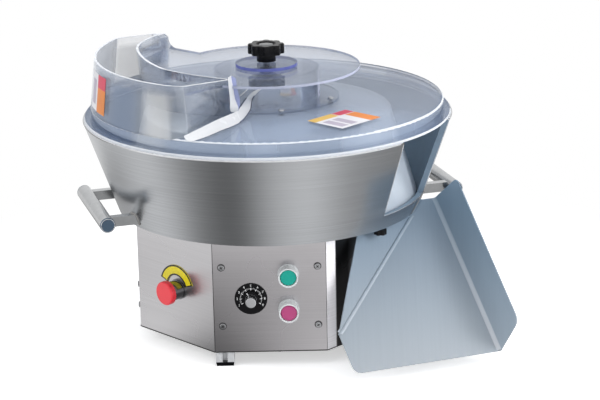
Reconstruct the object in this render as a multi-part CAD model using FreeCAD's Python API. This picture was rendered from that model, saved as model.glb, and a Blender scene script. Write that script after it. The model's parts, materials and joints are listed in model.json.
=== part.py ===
import FreeCAD, Part
import math
import os

# Bench dough rounder: a coated cone turns inside a fixed conical bowl, dough pieces drop in through
# the crescent hopper of the clear lid, roll round the V-shaped channel and leave over the chute.
# Millimetres, +Z up, table at z = 0. Everything is drawn about the rotor axis at x = y = 0 and is
# moved at the end so that the origin lies under the middle of the whole machine's box.

# The bowl's rim, from which the other large radii follow
rim_radius = 310.0
bowl_taper = 53.4
bowl_base_radius = rim_radius - bowl_taper

# Casing and stand
casing_inset = 35.1
casing_apothem = bowl_base_radius - casing_inset
casing_height = 191.7
casing_lift = 25.0
casing_sheet = 1.5
casing_bend = 3.0
panel_seam = 0.8
base_plate_thickness = 2.0
post_side = 30.0
post_slot = 8.0
post_slot_depth = 9.0
post_slot_width = 16.0
post_lip = 2.0
post_corner = 1.5
post_core_hole = 6.8
post_clearance = 0.4
post_set_back = 0.5
post_end_gap = 1.2
foot_height = 7.0
foot_taper = 1.2
vent_slot_length = 60.0
vent_slot_width = 5.0
vent_slot_pitch = 13.0
vent_slot_count = 7

# Bowl
bowl_depth = 153.9
bowl_wall = 11.0
skin_thickness = 1.5
floor_thickness = 5.0
gasket_height = 4.0
gasket_proud = 1.0
rest_gap = 0.3
exit_from = -45.3
exit_to = -12.5
exit_ledge_drop = 130.0

# Handles
handle_tube_radius = 12.5
handle_tube_wall = 1.5
handle_half_length = 98.5
handle_stand_off = 38.5
handle_drop = 138.0
handle_bar_height = 16.0
handle_bar_width = 14.0
handle_bar_inset = 20.0
handle_cap_thickness = 3.0
left_handle_azimuth = -163.5
right_handle_azimuth = 16.5

# Rotor, spindle and bearings
rotor_rim_inset = 103.0
rotor_top_radius = rim_radius - rotor_rim_inset
rotor_top_rise = 9.0
rotor_drop = 136.0
rotor_gap = 2.0
rotor_wall = 5.0
rotor_disc = 6.0
rotor_edge_radius = 5.0
hub_flange_radius = 70.0
hub_flange_thickness = 10.0
hub_boss_radius = 31.0
spindle_radius = 17.5
bearing_radius = 36.0
bearing_width = 17.0
bearing_ring = 5.0
bearing_play = 0.3
housing_wall = 12.0
housing_top_drop = 62.0
housing_spigot = 12.0
housing_flange_radius = 78.0
housing_flange_thickness = 10.0
housing_step = 2.0
running_gap = 3.0
running_fit = 0.05

# Belt drive and motor
drive_pulley_radius = 25.0
pulley_gap = 25.0
pulley_width = 18.0
pulley_flange = 3.0
pulley_flange_thickness = 2.0
pulley_rim = 8.0
pulley_web = 7.0
belt_thickness = 4.0
belt_play = 0.3
belt_side_play = 0.6
motor_azimuth = 125.0
motor_shaft_radius = 8.0
motor_mount_thickness = 6.0
motor_mount_radius = 66.0
motor_pillar_radius = 6.0
gearbox_radius = 46.0
gearbox_height = 42.0
motor_radius = 56.0
motor_wall_gap = 35.5
motor_height = 84.0
motor_fin = 3.0
motor_fin_count = 16
drive_box = (64.0, 96.0, 110.0)
drive_box_wall_gap = 47.5
drive_box_shift = 34.0
drive_box_corner = 4.0

# Clear lid, hopper and platform
clear_sheet = 4.0
lid_inset = 14.4
lid_radius = rim_radius - lid_inset
lid_height = 25.9
lid_flange_width = 10.4
lid_flange_radius = lid_radius + lid_flange_width
lid_edge_radius = 5.0
hopper_rise = 106.0
hopper_draft = 9.6
hopper_front_angle = -117.9
hopper_front_draft_angle = 2.9
hopper_back_angle = 155.0
hopper_scoop_x = -56.0
hopper_scoop_y = 46.0
hopper_scoop_radius = 160.0
hopper_scoop_draft = 7.0
hopper_scoop_front = -90.5
hopper_scoop_draft_front = 5.0
hopper_scoop_back = 131.0
hopper_lip_rise = 84.0
hopper_front_slope = (-0.1187, -0.0907)
hopper_valley = (-172.0, -75.0)
hopper_valley_rise = 93.0
hopper_back_slope = (-0.05, 0.118)
hopper_corner = 24.0
hopper_inner_corner = 9.0
hopper_foot = 13.0
platform_cove = 18.0
platform_radius = 156.0
platform_rise = 81.0
platform_back_angle = 138.0
platform_front_angle = 243.0
riser_radius = 88.0
riser_flange_radius = 121.0
riser_flange_thickness = 3.0
lid_screw_circle = 111.0
lid_screw_count = 6
lid_screw_start = -77.5
washer_radius = 51.5
washer_thickness = 5.0
washer_boss_radius = 11.0
washer_boss_height = 2.0

# Knob of the lid
knob_neck_radius = 16.0
knob_neck_height = 13.0
knob_head_height = 16.5
knob_head_radius = 30.5
knob_lobe_radius = 7.2
knob_lobe_count = 8
knob_dish_radius = 17.0
knob_dish_depth = 3.0
knob_stud_radius = 6.0
stud_nut_width = 19.0
stud_nut_height = 10.0
thread_play = 0.3

# Controls
panel_screw_inset = 14.25
panel_screw_top = 46.3
panel_screw_pitch = 100.0
button_share = 0.3292
button_pitch = 60.0
button_drop = 58.6
button_radius = 13.2
button_length = 21.0
button_cap_depth = 12.0
button_stem_radius = 10.0
button_travel = 4.0
boot_radius = 15.9
boot_length = 23.0
boot_base_radius = 17.0
boot_base_length = 3.0
boot_play = 0.4
control_hole_radius = 11.2
contact_block = (32.0, 30.0, 42.0)
contact_collar_radius = 16.0
contact_collar_length = 16.0
dial_share = 0.3346
dial_drop = 99.8
dial_radius = 26.5
dial_thickness = 1.0
dial_knob_skirt = 13.0
dial_knob_skirt_height = 3.0
dial_knob_radius = 8.6
dial_knob_length = 21.0
dial_knob_flutes = 16
dial_flute_radius = 0.8
dial_shaft_radius = 3.0
dial_shaft_length = 15.0
dial_pointer_angle = 30.0
pot_radius = 12.0
pot_length = 18.0
estop_shift = 9.0
estop_drop = 101.1
estop_head_radius = 20.0
estop_head_length = 9.5
estop_dome = 3.0
estop_travel = 5.0
estop_collar_radius = 16.0
estop_collar_bore = 13.0
estop_collar_length = 23.5
estop_base_radius = 17.5
estop_base_length = 2.5
estop_plunger_radius = 8.0
estop_plate_outer = 40.0
estop_plate_inner = 22.5
estop_plate_shift = -4.0
estop_plate_from = 18.0
estop_plate_to = 162.0
gland_share = 0.654
gland_lift = 60.0
gland_hex = 24.0
gland_bore_radius = 4.5
gland_thread_radius = 10.0
gland_length = 14.0

# Chute
chute_anchor_angle = -23.4
chute_anchor_gap = 1.0
chute_heading = -70.0
chute_slope = 50.0
chute_lift = 20.6
chute_sheet = 2.0
chute_left_reach = 171.0
chute_width = 256.0
chute_top_width = 26.0
chute_rise_past_anchor = 24.0
chute_left_edge = 68.0
chute_left_lean = 8.0
chute_wall_height = 71.0
chute_wall_splay = 12.0
chute_wall_cut = 22.0
chute_corner = 14.0
chute_top_corner = 9.0
chute_wing_angle = -50.4
chute_casing_gap = 4.8
chute_flange_gap = 0.5
chute_flange_margin = 4.0
thumb_angles = (-43.0, -20.0)
thumb_inset = 9.0
thumb_radius = bowl_base_radius - thumb_inset
thumb_tab_turn = 6.0
thumb_head_radius = 10.4
thumb_lobe_radius = 3.6
thumb_lobe_count = 6
thumb_head_height = 9.0
thumb_stud_radius = 3.0
thumb_bite = 4.0

# Fasteners
screw_head_radius = 5.2
screw_head_height = 3.2
screw_radius = 2.5
bolt_head_radius = 6.5
bolt_head_height = 6.0
bolt_radius = 4.0
base_screw_inset = 10.0
base_screw_shift = 14.0
side_screw_drops = (121.0, 158.0)
panel_screw_reach = casing_sheet + post_set_back / 2

# Heights and radii that follow from the sizes above
base_z = casing_lift + casing_height
rim_z = base_z + bowl_depth
floor_top = base_z + floor_thickness
half_side = casing_apothem * math.tan(math.pi / 8)
panel_screw_x = half_side - panel_screw_inset
button_x = half_side * button_share
dial_x = -half_side * dial_share
gland_x = half_side * gland_share
motor_distance = casing_apothem - motor_wall_gap - motor_radius
driven_pulley_radius = motor_distance - drive_pulley_radius - pulley_gap
far = 4 * rim_radius
gasket_top_z = rim_z + gasket_proud
lid_seat_z = gasket_top_z + rest_gap
lid_top_z = rim_z + lid_height
platform_z = rim_z + platform_rise
ledge_z = rim_z - exit_ledge_drop
rotor_top_z = rim_z + rotor_top_rise
rotor_bottom_z = rim_z - rotor_drop
housing_top_z = rim_z - housing_top_drop
housing_bottom_z = base_z - housing_spigot
pulley_top_z = housing_bottom_z - running_gap
pulley_bottom_z = pulley_top_z - pulley_width
housing_radius = bearing_radius + housing_wall
front_y = -casing_apothem


def V(x, y, z):
    return FreeCAD.Vector(x, y, z)


def skin_radius(z):
    return bowl_base_radius + (rim_radius - bowl_base_radius) * (z - base_z) / bowl_depth


def liner_radius(z):
    return skin_radius(z) - bowl_wall


def polar(radius, degrees, z=0.0):
    angle = math.radians(degrees)
    return V(radius * math.cos(angle), radius * math.sin(angle), z)


def disc(radius, z_from, z_to, centre=(0.0, 0.0)):
    return Part.makeCylinder(radius, z_to - z_from, V(centre[0], centre[1], z_from))


def ring(inner, outer, z_from, z_to, centre=(0.0, 0.0)):
    return disc(outer, z_from, z_to, centre).cut(disc(inner, z_from, z_to, centre))


def rod(radius, x_from, x_to):
    return Part.makeCylinder(radius, x_to - x_from, V(x_from, 0, 0), V(1, 0, 0))


def sleeve(inner, outer, x_from, x_to):
    return rod(outer, x_from, x_to).cut(rod(inner, x_from, x_to))


def block(x_from, x_to, y_from, y_to, z_from, z_to):
    return Part.makeBox(x_to - x_from, y_to - y_from, z_to - z_from, V(x_from, y_from, z_from))


def revolved(points):
    """Turn a closed outline of (radius, height) pairs once round the rotor axis."""
    outline = Part.makePolygon([V(r, 0, z) for r, z in points + points[:1]])
    return Part.Face(outline).revolve(V(0, 0, 0), V(0, 0, 1), 360)


def prism(points, z_from, z_to):
    outline = Part.makePolygon([V(x, y, z_from) for x, y in points + points[:1]])
    return Part.Face(outline).extrude(V(0, 0, z_to - z_from))


def wedge(angle_from, angle_to, z_from, z_to):
    """The space between two half planes through the rotor axis."""
    middle = (angle_from + angle_to) / 2
    corners = [V(0, 0, z_from)]
    corners += [polar(far, angle, z_from) for angle in (angle_from, middle, angle_to)]
    outline = Part.makePolygon(corners + corners[:1])
    return Part.Face(outline).extrude(V(0, 0, z_to - z_from))


def fuse(shapes):
    return shapes[0].multiFuse(shapes[1:]).removeSplitter()


def set_on_face(shape, azimuth, sideways, z, distance=casing_apothem):
    """Carry a shape drawn along +X, with x = 0 on the casing's skin, to its place on a casing face."""
    placed = shape.copy()
    placed.rotate(V(0, 0, 0), V(0, 0, 1), azimuth)
    angle = math.radians(azimuth)
    out = V(math.cos(angle), math.sin(angle), 0)
    along = V(-math.sin(angle), math.cos(angle), 0)
    placed.translate(out * distance + along * sideways + V(0, 0, z))
    return placed


def vertical_edges(shape):
    found = []
    for edge in shape.Edges:
        start, end = edge.Vertexes[0].Point, edge.Vertexes[-1].Point
        flat = math.hypot(start.x - end.x, start.y - end.y)
        if flat < 0.01 and abs(start.z - end.z) > 0.01:
            found.append(edge)
    return found


def octagon(apothem, bend, z_from, z_to):
    reach = apothem / math.cos(math.pi / 8)
    corners = [polar(reach, 22.5 + 45 * i) for i in range(8)]
    solid = prism([(c.x, c.y) for c in corners], z_from, z_to)
    if bend > 0:
        solid = solid.makeFillet(bend, vertical_edges(solid))
    return solid


def pan_head(reach_in):
    """A pan-head screw drawn along +X, its head outside x = 0."""
    head = rod(screw_head_radius, 0, screw_head_height)
    head = head.makeFillet(screw_head_height * 0.45, [head.Edges[0]])
    return head.fuse(rod(screw_radius, -reach_in, 0)).removeSplitter()


# Casing: a flat front panel, a flat rear panel and a folded wrap on each side


def casing_shell():
    outer = octagon(casing_apothem, casing_bend, casing_lift, base_z)
    inner = octagon(casing_apothem - casing_sheet, casing_bend - casing_sheet, casing_lift, base_z)
    return outer.cut(inner)


def panel_screw_heights():
    top = base_z - panel_screw_top
    return [top, top - panel_screw_pitch]


def control_height(drop):
    return base_z - drop


button_heights = [control_height(button_drop), control_height(button_drop + button_pitch)]
dial_z = control_height(dial_drop)
estop_z = control_height(estop_drop)
gland_z = casing_lift + gland_lift


def drill(shape, radius, azimuth, sideways, z):
    hole = rod(radius, -2 * casing_sheet, 2 * casing_sheet)
    return shape.cut(set_on_face(hole, azimuth, sideways, z))


def front_panel():
    inside = half_side - panel_seam
    panel = casing_shell().common(block(-inside, inside, -far, 0, 0, far))
    for z in panel_screw_heights():
        for x in (-panel_screw_x, panel_screw_x):
            panel = drill(panel, screw_radius, -90, x, z)
    for z in button_heights:
        panel = drill(panel, control_hole_radius, -90, button_x, z)
    return drill(panel, dial_shaft_radius + thread_play, -90, dial_x, dial_z)


def side_wrap(side):
    keep = block(-far, -half_side, -far, far, 0, far)
    if side > 0:
        keep = block(half_side, far, -far, far, 0, far)
    wrap = casing_shell().common(keep)
    if side < 0:
        wrap = drill(wrap, control_hole_radius, -135, estop_shift, estop_z)
        for drop in side_screw_drops:
            wrap = drill(wrap, screw_radius, 180, panel_screw_x, base_z - drop)
    return wrap


def rear_panel():
    inside = half_side - panel_seam
    panel = casing_shell().common(block(-inside, inside, 0, far, 0, far))
    first = -(vent_slot_count - 1) * vent_slot_pitch / 2
    z_middle = (casing_lift + base_z) / 2 + vent_slot_length / 4
    for i in range(vent_slot_count):
        x = first + i * vent_slot_pitch
        slot = block(x - vent_slot_width / 2, x + vent_slot_width / 2, casing_apothem - 2 * casing_sheet,
                     casing_apothem + casing_sheet, z_middle - vent_slot_length / 2,
                     z_middle + vent_slot_length / 2)
        panel = panel.cut(slot)
    for z in panel_screw_heights():
        for x in (-panel_screw_x, panel_screw_x):
            panel = drill(panel, screw_radius, 90, x, z)
    return drill(panel, gland_thread_radius, 90, gland_x, gland_z)


# Stand: three T-slot posts that carry the bowl's floor and stand on black end caps

post_inset = casing_sheet + post_set_back + post_side / 2
post_sideways = half_side - post_end_gap - post_side / 2
post_faces = (-90.0, 0.0, 135.0)


def post_centre(face):
    return set_on_face(Part.Vertex(0, 0, 0), face, -post_sideways, 0, casing_apothem - post_inset).Point


def turned_to(shape, face):
    centre = post_centre(face)
    placed = shape.copy()
    placed.rotate(V(0, 0, 0), V(0, 0, 1), face)
    placed.translate(centre)
    return placed


def post_profile():
    half = post_side / 2
    body = prism([(-half, -half), (half, -half), (half, half), (-half, half)], foot_height, base_z)
    body = body.makeFillet(post_corner, vertical_edges(body))
    mouth = post_slot / 2
    wide = post_slot_width / 2
    outline = [(half + 1, -mouth), (half + 1, mouth), (half - post_lip, mouth), (half - post_lip, wide),
               (half - post_slot_depth / 2, wide), (half - post_slot_depth, mouth),
               (half - post_slot_depth, -mouth), (half - post_slot_depth / 2, -wide),
               (half - post_lip, -wide), (half - post_lip, -mouth)]
    slot = prism(outline, foot_height, base_z)
    for i in range(4):
        side = slot.copy()
        side.rotate(V(0, 0, 0), V(0, 0, 1), 90 * i)
        body = body.cut(side)
    return body.cut(disc(post_core_hole / 2, foot_height, base_z))


def foot_cap():
    half = post_side / 2
    low = half - foot_taper
    top = Part.makePolygon([V(x, y, foot_height) for x, y in
                            ((-half, -half), (half, -half), (half, half), (-half, half), (-half, -half))])
    foot = Part.makePolygon([V(x, y, 0) for x, y in
                             ((-low, -low), (low, -low), (low, low), (-low, low), (-low, -low))])
    return Part.makeLoft([foot, top], True, True)


def base_plate():
    plate = octagon(casing_apothem - casing_sheet, casing_bend - casing_sheet, casing_lift,
                    casing_lift + base_plate_thickness)
    half = post_side / 2 + post_clearance
    for face in post_faces:
        plate = plate.cut(turned_to(block(-half, half, -half, half, casing_lift, base_z), face))
    for screw in base_plate_screws():
        plate = plate.cut(screw)
    return plate


def base_plate_screws():
    screws = []
    for i in range(8):
        screw = pan_head(base_plate_thickness + 3)
        screw.rotate(V(0, 0, 0), V(0, 1, 0), 90)
        distance = casing_apothem - base_screw_inset
        screws.append(set_on_face(screw, 45 * i, base_screw_shift, casing_lift, distance))
    return screws


def casing_screws():
    screws = []
    for azimuth in (-90, 90):
        for z in panel_screw_heights():
            for x in (-panel_screw_x, panel_screw_x):
                screws.append(set_on_face(pan_head(panel_screw_reach), azimuth, x, z))
    for drop in side_screw_drops:
        screws.append(set_on_face(pan_head(panel_screw_reach), 180, panel_screw_x, base_z - drop))
    return screws


# Bowl: brushed skin, thick liner, flat floor and rubber rim gasket, all open at the exit


def exit_cut():
    return wedge(exit_from, exit_to, ledge_z, rim_z + bowl_depth)


def bowl_skin():
    inner = skin_thickness
    skin = revolved([(bowl_base_radius, base_z), (rim_radius, rim_z),
                     (rim_radius - inner, rim_z), (bowl_base_radius - inner, base_z)])
    return skin.cut(exit_cut())


def bowl_liner():
    top = rim_z - (gasket_height - gasket_proud)
    liner = revolved([(skin_radius(floor_top) - skin_thickness, floor_top),
                      (skin_radius(top) - skin_thickness, top),
                      (liner_radius(top), top), (liner_radius(floor_top), floor_top)])
    return liner.cut(exit_cut())


def rim_gasket():
    bottom = rim_z - (gasket_height - gasket_proud)
    inner = liner_radius(bottom)
    outer = skin_radius(bottom) - skin_thickness
    return ring(inner, outer, bottom, gasket_top_z).cut(exit_cut())


def bowl_floor():
    inner = skin_thickness
    plate = revolved([(housing_radius, base_z), (bowl_base_radius - inner, base_z),
                      (skin_radius(floor_top) - inner, floor_top), (housing_radius, floor_top)])
    for bolt in housing_bolts():
        plate = plate.cut(bolt)
    for angle in thumb_angles:
        centre = polar(thumb_radius, angle)
        plate = plate.cut(disc(thumb_stud_radius + thread_play, base_z, floor_top, (centre.x, centre.y)))
    return plate


# Handles: a round tube on two square bars welded to the skin


def handle_frame(shape, azimuth):
    placed = shape.copy()
    placed.rotate(V(0, 0, 0), V(0, 0, 1), azimuth)
    placed.translate(V(0, 0, rim_z - handle_drop))
    return placed


handle_reach = skin_radius(rim_z - handle_drop) + handle_stand_off


def handle_tube(azimuth):
    half = handle_half_length
    tube = Part.makeCylinder(handle_tube_radius, 2 * half, V(handle_reach, -half, 0), V(0, 1, 0))
    bore = Part.makeCylinder(handle_tube_radius - handle_tube_wall, 2 * half,
                             V(handle_reach, -half, 0), V(0, 1, 0))
    return handle_frame(tube.cut(bore), azimuth)


def handle_bars(azimuth):
    bars = []
    bowl = revolved([(0, base_z), (bowl_base_radius, base_z), (rim_radius, rim_z), (0, rim_z)])
    tube = handle_frame(Part.makeCylinder(handle_tube_radius, 2 * handle_half_length,
                                          V(handle_reach, -handle_half_length, 0), V(0, 1, 0)), azimuth)
    for side in (-1, 1):
        middle = side * (handle_half_length - handle_bar_inset)
        bar = block(handle_reach * 0.5, handle_reach, middle - handle_bar_width / 2,
                    middle + handle_bar_width / 2, -handle_bar_height / 2, handle_bar_height / 2)
        bars.append(handle_frame(bar, azimuth).cut(bowl).cut(tube))
    return bars


def handle_caps(azimuth):
    caps = []
    for side in (-1, 1):
        start = side * (handle_half_length + handle_cap_thickness)
        plug = side * (handle_half_length - handle_cap_thickness)
        head = Part.makeCylinder(handle_tube_radius, handle_cap_thickness,
                                 V(handle_reach, start, 0), V(0, -side, 0))
        stem = Part.makeCylinder(handle_tube_radius - handle_tube_wall, 2 * handle_cap_thickness,
                                 V(handle_reach, plug, 0), V(0, side, 0))
        head = head.makeFillet(handle_cap_thickness * 0.5, [widest_edge(head, V(0, side, 0))])
        caps.append(handle_frame(head.fuse(stem).removeSplitter(), azimuth))
    return caps


def widest_edge(shape, direction):
    """The circular edge that lies furthest along a direction."""
    round_edges = [edge for edge in shape.Edges if len(edge.Vertexes) == 1]
    return max(round_edges, key=lambda edge: edge.CenterOfMass.dot(direction))


# Rotor: cone, hub and spindle in two sealed bearings


rotor_bottom_radius = liner_radius(rotor_bottom_z) - rotor_gap


def rotor_cone():
    slant = (rotor_bottom_radius - rotor_top_radius) / (rotor_top_z - rotor_bottom_z)
    under = rotor_top_z - rotor_disc
    cone = revolved([(spindle_radius, under), (spindle_radius, rotor_top_z),
                     (rotor_top_radius, rotor_top_z), (rotor_bottom_radius, rotor_bottom_z),
                     (rotor_bottom_radius - rotor_wall, rotor_bottom_z),
                     (rotor_top_radius + slant * rotor_disc - rotor_wall, under)])
    rim = [edge for edge in cone.Edges if len(edge.Vertexes) == 1
           and abs(edge.BoundBox.ZMin - rotor_top_z) < 0.01
           and abs(edge.BoundBox.XMax - rotor_top_radius) < 0.01]
    cone = cone.makeFillet(rotor_edge_radius, rim)
    for screw in rotor_screws():
        cone = cone.cut(screw)
    return cone


def rotor_screws():
    screws = []
    for i in range(4):
        centre = polar((hub_flange_radius + hub_boss_radius) / 2, 45 + 90 * i)
        depth = rotor_disc + hub_flange_thickness * 0.8
        shank = disc(bolt_radius, rotor_top_z - depth, rotor_top_z, (centre.x, centre.y))
        head = disc(bolt_head_radius, rotor_top_z, rotor_top_z + screw_head_height, (centre.x, centre.y))
        screws.append(head.fuse(shank).removeSplitter())
    return screws


def rotor_hub():
    top = rotor_top_z - rotor_disc
    flange_bottom = top - hub_flange_thickness
    hub = revolved([(spindle_radius, housing_top_z + running_gap), (hub_boss_radius, housing_top_z + running_gap),
                    (hub_boss_radius, flange_bottom), (hub_flange_radius, flange_bottom),
                    (hub_flange_radius, top), (spindle_radius, top)])
    for screw in rotor_screws():
        hub = hub.cut(screw)
    return hub


def spindle():
    shaft = disc(spindle_radius, pulley_bottom_z, rotor_top_z)
    return shaft.makeChamfer(1.0, [edge for edge in shaft.Edges if len(edge.Vertexes) == 1])


def bearing_heights():
    upper = housing_top_z - housing_step - bearing_width
    lower = housing_bottom_z + housing_step
    return [lower, upper]


def bearing_outer(z):
    inner = spindle_radius + bearing_ring + bearing_play
    return ring(inner, bearing_radius, z, z + bearing_width)


def bearing_inner(z):
    return ring(spindle_radius, spindle_radius + bearing_ring, z, z + bearing_width)


def bearing_housing():
    step = bearing_radius - housing_step
    low, high = bearing_heights()
    body = revolved([(step, housing_bottom_z), (housing_radius, housing_bottom_z),
                     (housing_radius, floor_top), (housing_flange_radius, floor_top),
                     (housing_flange_radius, floor_top + housing_flange_thickness),
                     (housing_radius, floor_top + housing_flange_thickness),
                     (housing_radius, housing_top_z), (step, housing_top_z)])
    for z in (low, high):
        body = body.cut(disc(bearing_radius, z, z + bearing_width))
    for bolt in housing_bolts():
        body = body.cut(bolt)
    return body


def housing_bolts():
    bolts = []
    top = floor_top + housing_flange_thickness
    for i in range(6):
        centre = polar((housing_flange_radius + housing_radius) / 2, 60 * i)
        shank = disc(bolt_radius, base_z, top, (centre.x, centre.y))
        head = disc(bolt_head_radius, top, top + bolt_head_height, (centre.x, centre.y))
        bolts.append(head.fuse(shank).removeSplitter())
    return bolts


# Belt drive: a large pulley on the spindle, a small one on the gearmotor's shaft


motor_x = motor_distance * math.cos(math.radians(motor_azimuth))
motor_y = motor_distance * math.sin(math.radians(motor_azimuth))
mount_top_z = pulley_bottom_z - running_gap - belt_side_play
gearbox_top_z = mount_top_z - motor_mount_thickness


def pulley_profile(radius, bore):
    """Outline of a flanged belt pulley with a thin web where it is wide enough for one."""
    edge = radius + pulley_flange
    lip = pulley_flange_thickness
    outline = [(bore, pulley_bottom_z), (edge, pulley_bottom_z), (edge, pulley_bottom_z + lip),
               (radius, pulley_bottom_z + lip), (radius, pulley_top_z - lip), (edge, pulley_top_z - lip),
               (edge, pulley_top_z)]
    if radius > 2 * (bore + pulley_rim):
        web_top = pulley_bottom_z + pulley_web
        outline += [(radius - pulley_rim, pulley_top_z), (radius - pulley_rim, web_top),
                    (bore + pulley_rim, web_top), (bore + pulley_rim, pulley_top_z)]
    return outline + [(bore, pulley_top_z)]


def driven_pulley():
    return revolved(pulley_profile(driven_pulley_radius, spindle_radius))


def motor_pulley():
    pulley = revolved(pulley_profile(drive_pulley_radius, motor_shaft_radius))
    pulley.translate(V(motor_x, motor_y, 0))
    return pulley


def motor_shaft():
    return disc(motor_shaft_radius, gearbox_top_z - gearbox_height + running_gap, pulley_top_z,
                (motor_x, motor_y))


def belt_loop(extra, z_from, z_to):
    """The space inside an open belt that runs round both pulleys at a distance from them."""
    large = driven_pulley_radius + extra
    small = drive_pulley_radius + extra
    lean = math.degrees(math.acos((large - small) / motor_distance))
    corners = []
    for angle in (motor_azimuth + lean, motor_azimuth - lean):
        corners.append(polar(large, angle))
        corners.append(polar(small, angle) + V(motor_x, motor_y, 0))
    straight = prism([(c.x, c.y) for c in (corners[0], corners[1], corners[3], corners[2])], z_from, z_to)
    return fuse([straight, disc(large, z_from, z_to), disc(small, z_from, z_to, (motor_x, motor_y))])


def drive_belt():
    bottom = pulley_bottom_z + pulley_flange_thickness + belt_side_play
    top = pulley_top_z - pulley_flange_thickness - belt_side_play
    return belt_loop(belt_play + belt_thickness, bottom, top).cut(belt_loop(belt_play, bottom, top))


def motor_mount():
    plate = disc(motor_mount_radius, gearbox_top_z, mount_top_z, (motor_x, motor_y))
    plate = plate.cut(disc(motor_shaft_radius + running_gap, gearbox_top_z, mount_top_z, (motor_x, motor_y)))
    parts = [plate]
    reach = motor_mount_radius - motor_pillar_radius - 2
    for turn in (-78, 0, 78):
        spot = polar(reach, motor_azimuth + turn)
        parts.append(disc(motor_pillar_radius, gearbox_top_z, base_z, (motor_x + spot.x, motor_y + spot.y)))
    return fuse(parts)


def gearbox():
    bottom = gearbox_top_z - gearbox_height
    body = disc(gearbox_radius, bottom, gearbox_top_z, (motor_x, motor_y))
    bore = disc(motor_shaft_radius + running_fit, bottom + running_gap / 2, gearbox_top_z, (motor_x, motor_y))
    return body.cut(bore)


def motor():
    top = gearbox_top_z - gearbox_height
    bottom = top - motor_height
    core = [disc(motor_radius - motor_fin, bottom, top, (motor_x, motor_y))]
    for i in range(motor_fin_count):
        fin = block(0, motor_radius, -motor_fin / 2, motor_fin / 2, bottom + motor_fin, top - motor_fin)
        fin.rotate(V(0, 0, 0), V(0, 0, 1), 360.0 * i / motor_fin_count)
        fin.translate(V(motor_x, motor_y, 0))
        core.append(fin)
    return fuse(core)


def speed_drive():
    wide, deep, tall = drive_box
    x, y = casing_apothem - drive_box_wall_gap - wide / 2, drive_box_shift
    bottom = casing_lift + base_plate_thickness
    body = block(x - wide / 2, x + wide / 2, y - deep / 2, y + deep / 2, bottom, bottom + tall)
    return body.makeFillet(drive_box_corner, vertical_edges(body))


# Clear lid


def scoop_point(degrees, drafted=0.0):
    radius = hopper_scoop_radius - hopper_scoop_draft * drafted
    return V(hopper_scoop_x, hopper_scoop_y, 0) + polar(radius, degrees)


def hopper_corners(drafted):
    """Plan corners of the crescent, at the rim (drafted = 0) or at the lid's level (drafted = 1)."""
    radius = lid_radius - hopper_draft * (1 - drafted)
    front = hopper_front_angle + hopper_front_draft_angle * drafted
    front_in = hopper_scoop_front + hopper_scoop_draft_front * drafted
    return [polar(radius, front), polar(radius, hopper_back_angle),
            scoop_point(hopper_scoop_back, drafted), scoop_point(front_in, drafted)]


def hopper_wire(z, inset=0.0):
    """The crescent's outline at one height: drafted outer arc, end walls, scooped inner arc."""
    drafted = (rim_z + hopper_rise - z) / (hopper_rise - lid_height + clear_sheet)
    front_out, back_out, back_in, front_in = hopper_corners(drafted)
    radius = lid_radius - hopper_draft * (1 - drafted)
    rim = Part.Arc(front_out, polar(radius, 180), back_out)
    scoop = Part.Arc(back_in, scoop_point(180, drafted), front_in)
    wire = Part.Wire([rim.toShape(), Part.LineSegment(back_out, back_in).toShape(), scoop.toShape(),
                      Part.LineSegment(front_in, front_out).toShape()])
    slab = Part.Face(wire).extrude(V(0, 0, 1))
    outer_edges = []
    inner_edges = []
    for edge in vertical_edges(slab):
        point = edge.Vertexes[0].Point
        is_outer = math.hypot(point.x, point.y) > radius - 1
        (outer_edges if is_outer else inner_edges).append(edge)
    slab = slab.makeFillet(hopper_corner, outer_edges)
    inner_edges = [edge for edge in vertical_edges(slab)
                   if min((edge.Vertexes[0].Point - V(c.x, c.y, edge.Vertexes[0].Z)).Length
                          for c in (back_in, front_in)) < 0.01]
    slab = slab.makeFillet(hopper_inner_corner, inner_edges)
    floor = min(slab.Faces, key=lambda face: face.CenterOfMass.z)
    outline = floor.OuterWire
    if inset > 0:
        outline = floor.makeOffset2D(-inset).OuterWire
    outline.translate(V(0, 0, z))
    return outline


def hopper_solid(inset=0.0, extra=0.0):
    bottom = lid_top_z - clear_sheet - extra
    top = rim_z + hopper_rise + extra
    return Part.makeLoft([hopper_wire(bottom, inset), hopper_wire(top, inset)], True, True)


def space_above(level, slope, point):
    """Everything above a tilted plane that passes a point in plan at a given height."""
    corners = []
    for x, y in ((-far, -far), (far, -far), (far, far), (-far, far)):
        z = level + slope[0] * (x - point[0]) + slope[1] * (y - point[1])
        corners.append(V(x, y, z))
    return Part.Face(Part.makePolygon(corners + corners[:1])).extrude(V(0, 0, far))


def hopper_top_cut():
    """The space above the hopper's rim: level outside, dipping to the platform at the inner front corner."""
    corner = scoop_point(hopper_scoop_front)
    front = space_above(rim_z + hopper_lip_rise, hopper_front_slope, (corner.x, corner.y))
    back = space_above(rim_z + hopper_valley_rise, hopper_back_slope, hopper_valley)
    level = block(-far, far, -far, far, rim_z + hopper_rise, far)
    return front.common(back).fuse(level)


def hopper():
    walls = hopper_solid().cut(hopper_solid(clear_sheet, 1.0)).cut(hopper_top_cut())
    return walls.fuse(hopper_foot_strip().cut(hopper_solid())).removeSplitter()


def cove_face(corner, away, size):
    """A corner filled up to a hollow quarter circle, in the plane of one horizontal direction and +Z."""
    foot = corner + away * size
    head = corner + V(0, 0, size)
    middle = foot + V(0, 0, size) - (away + V(0, 0, 1)) * (size / math.sqrt(2))
    curve = Part.Arc(foot, middle, head).toShape()
    wire = Part.Wire([Part.LineSegment(corner, foot).toShape(), curve, Part.LineSegment(head, corner).toShape()])
    return Part.Face(wire)


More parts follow.
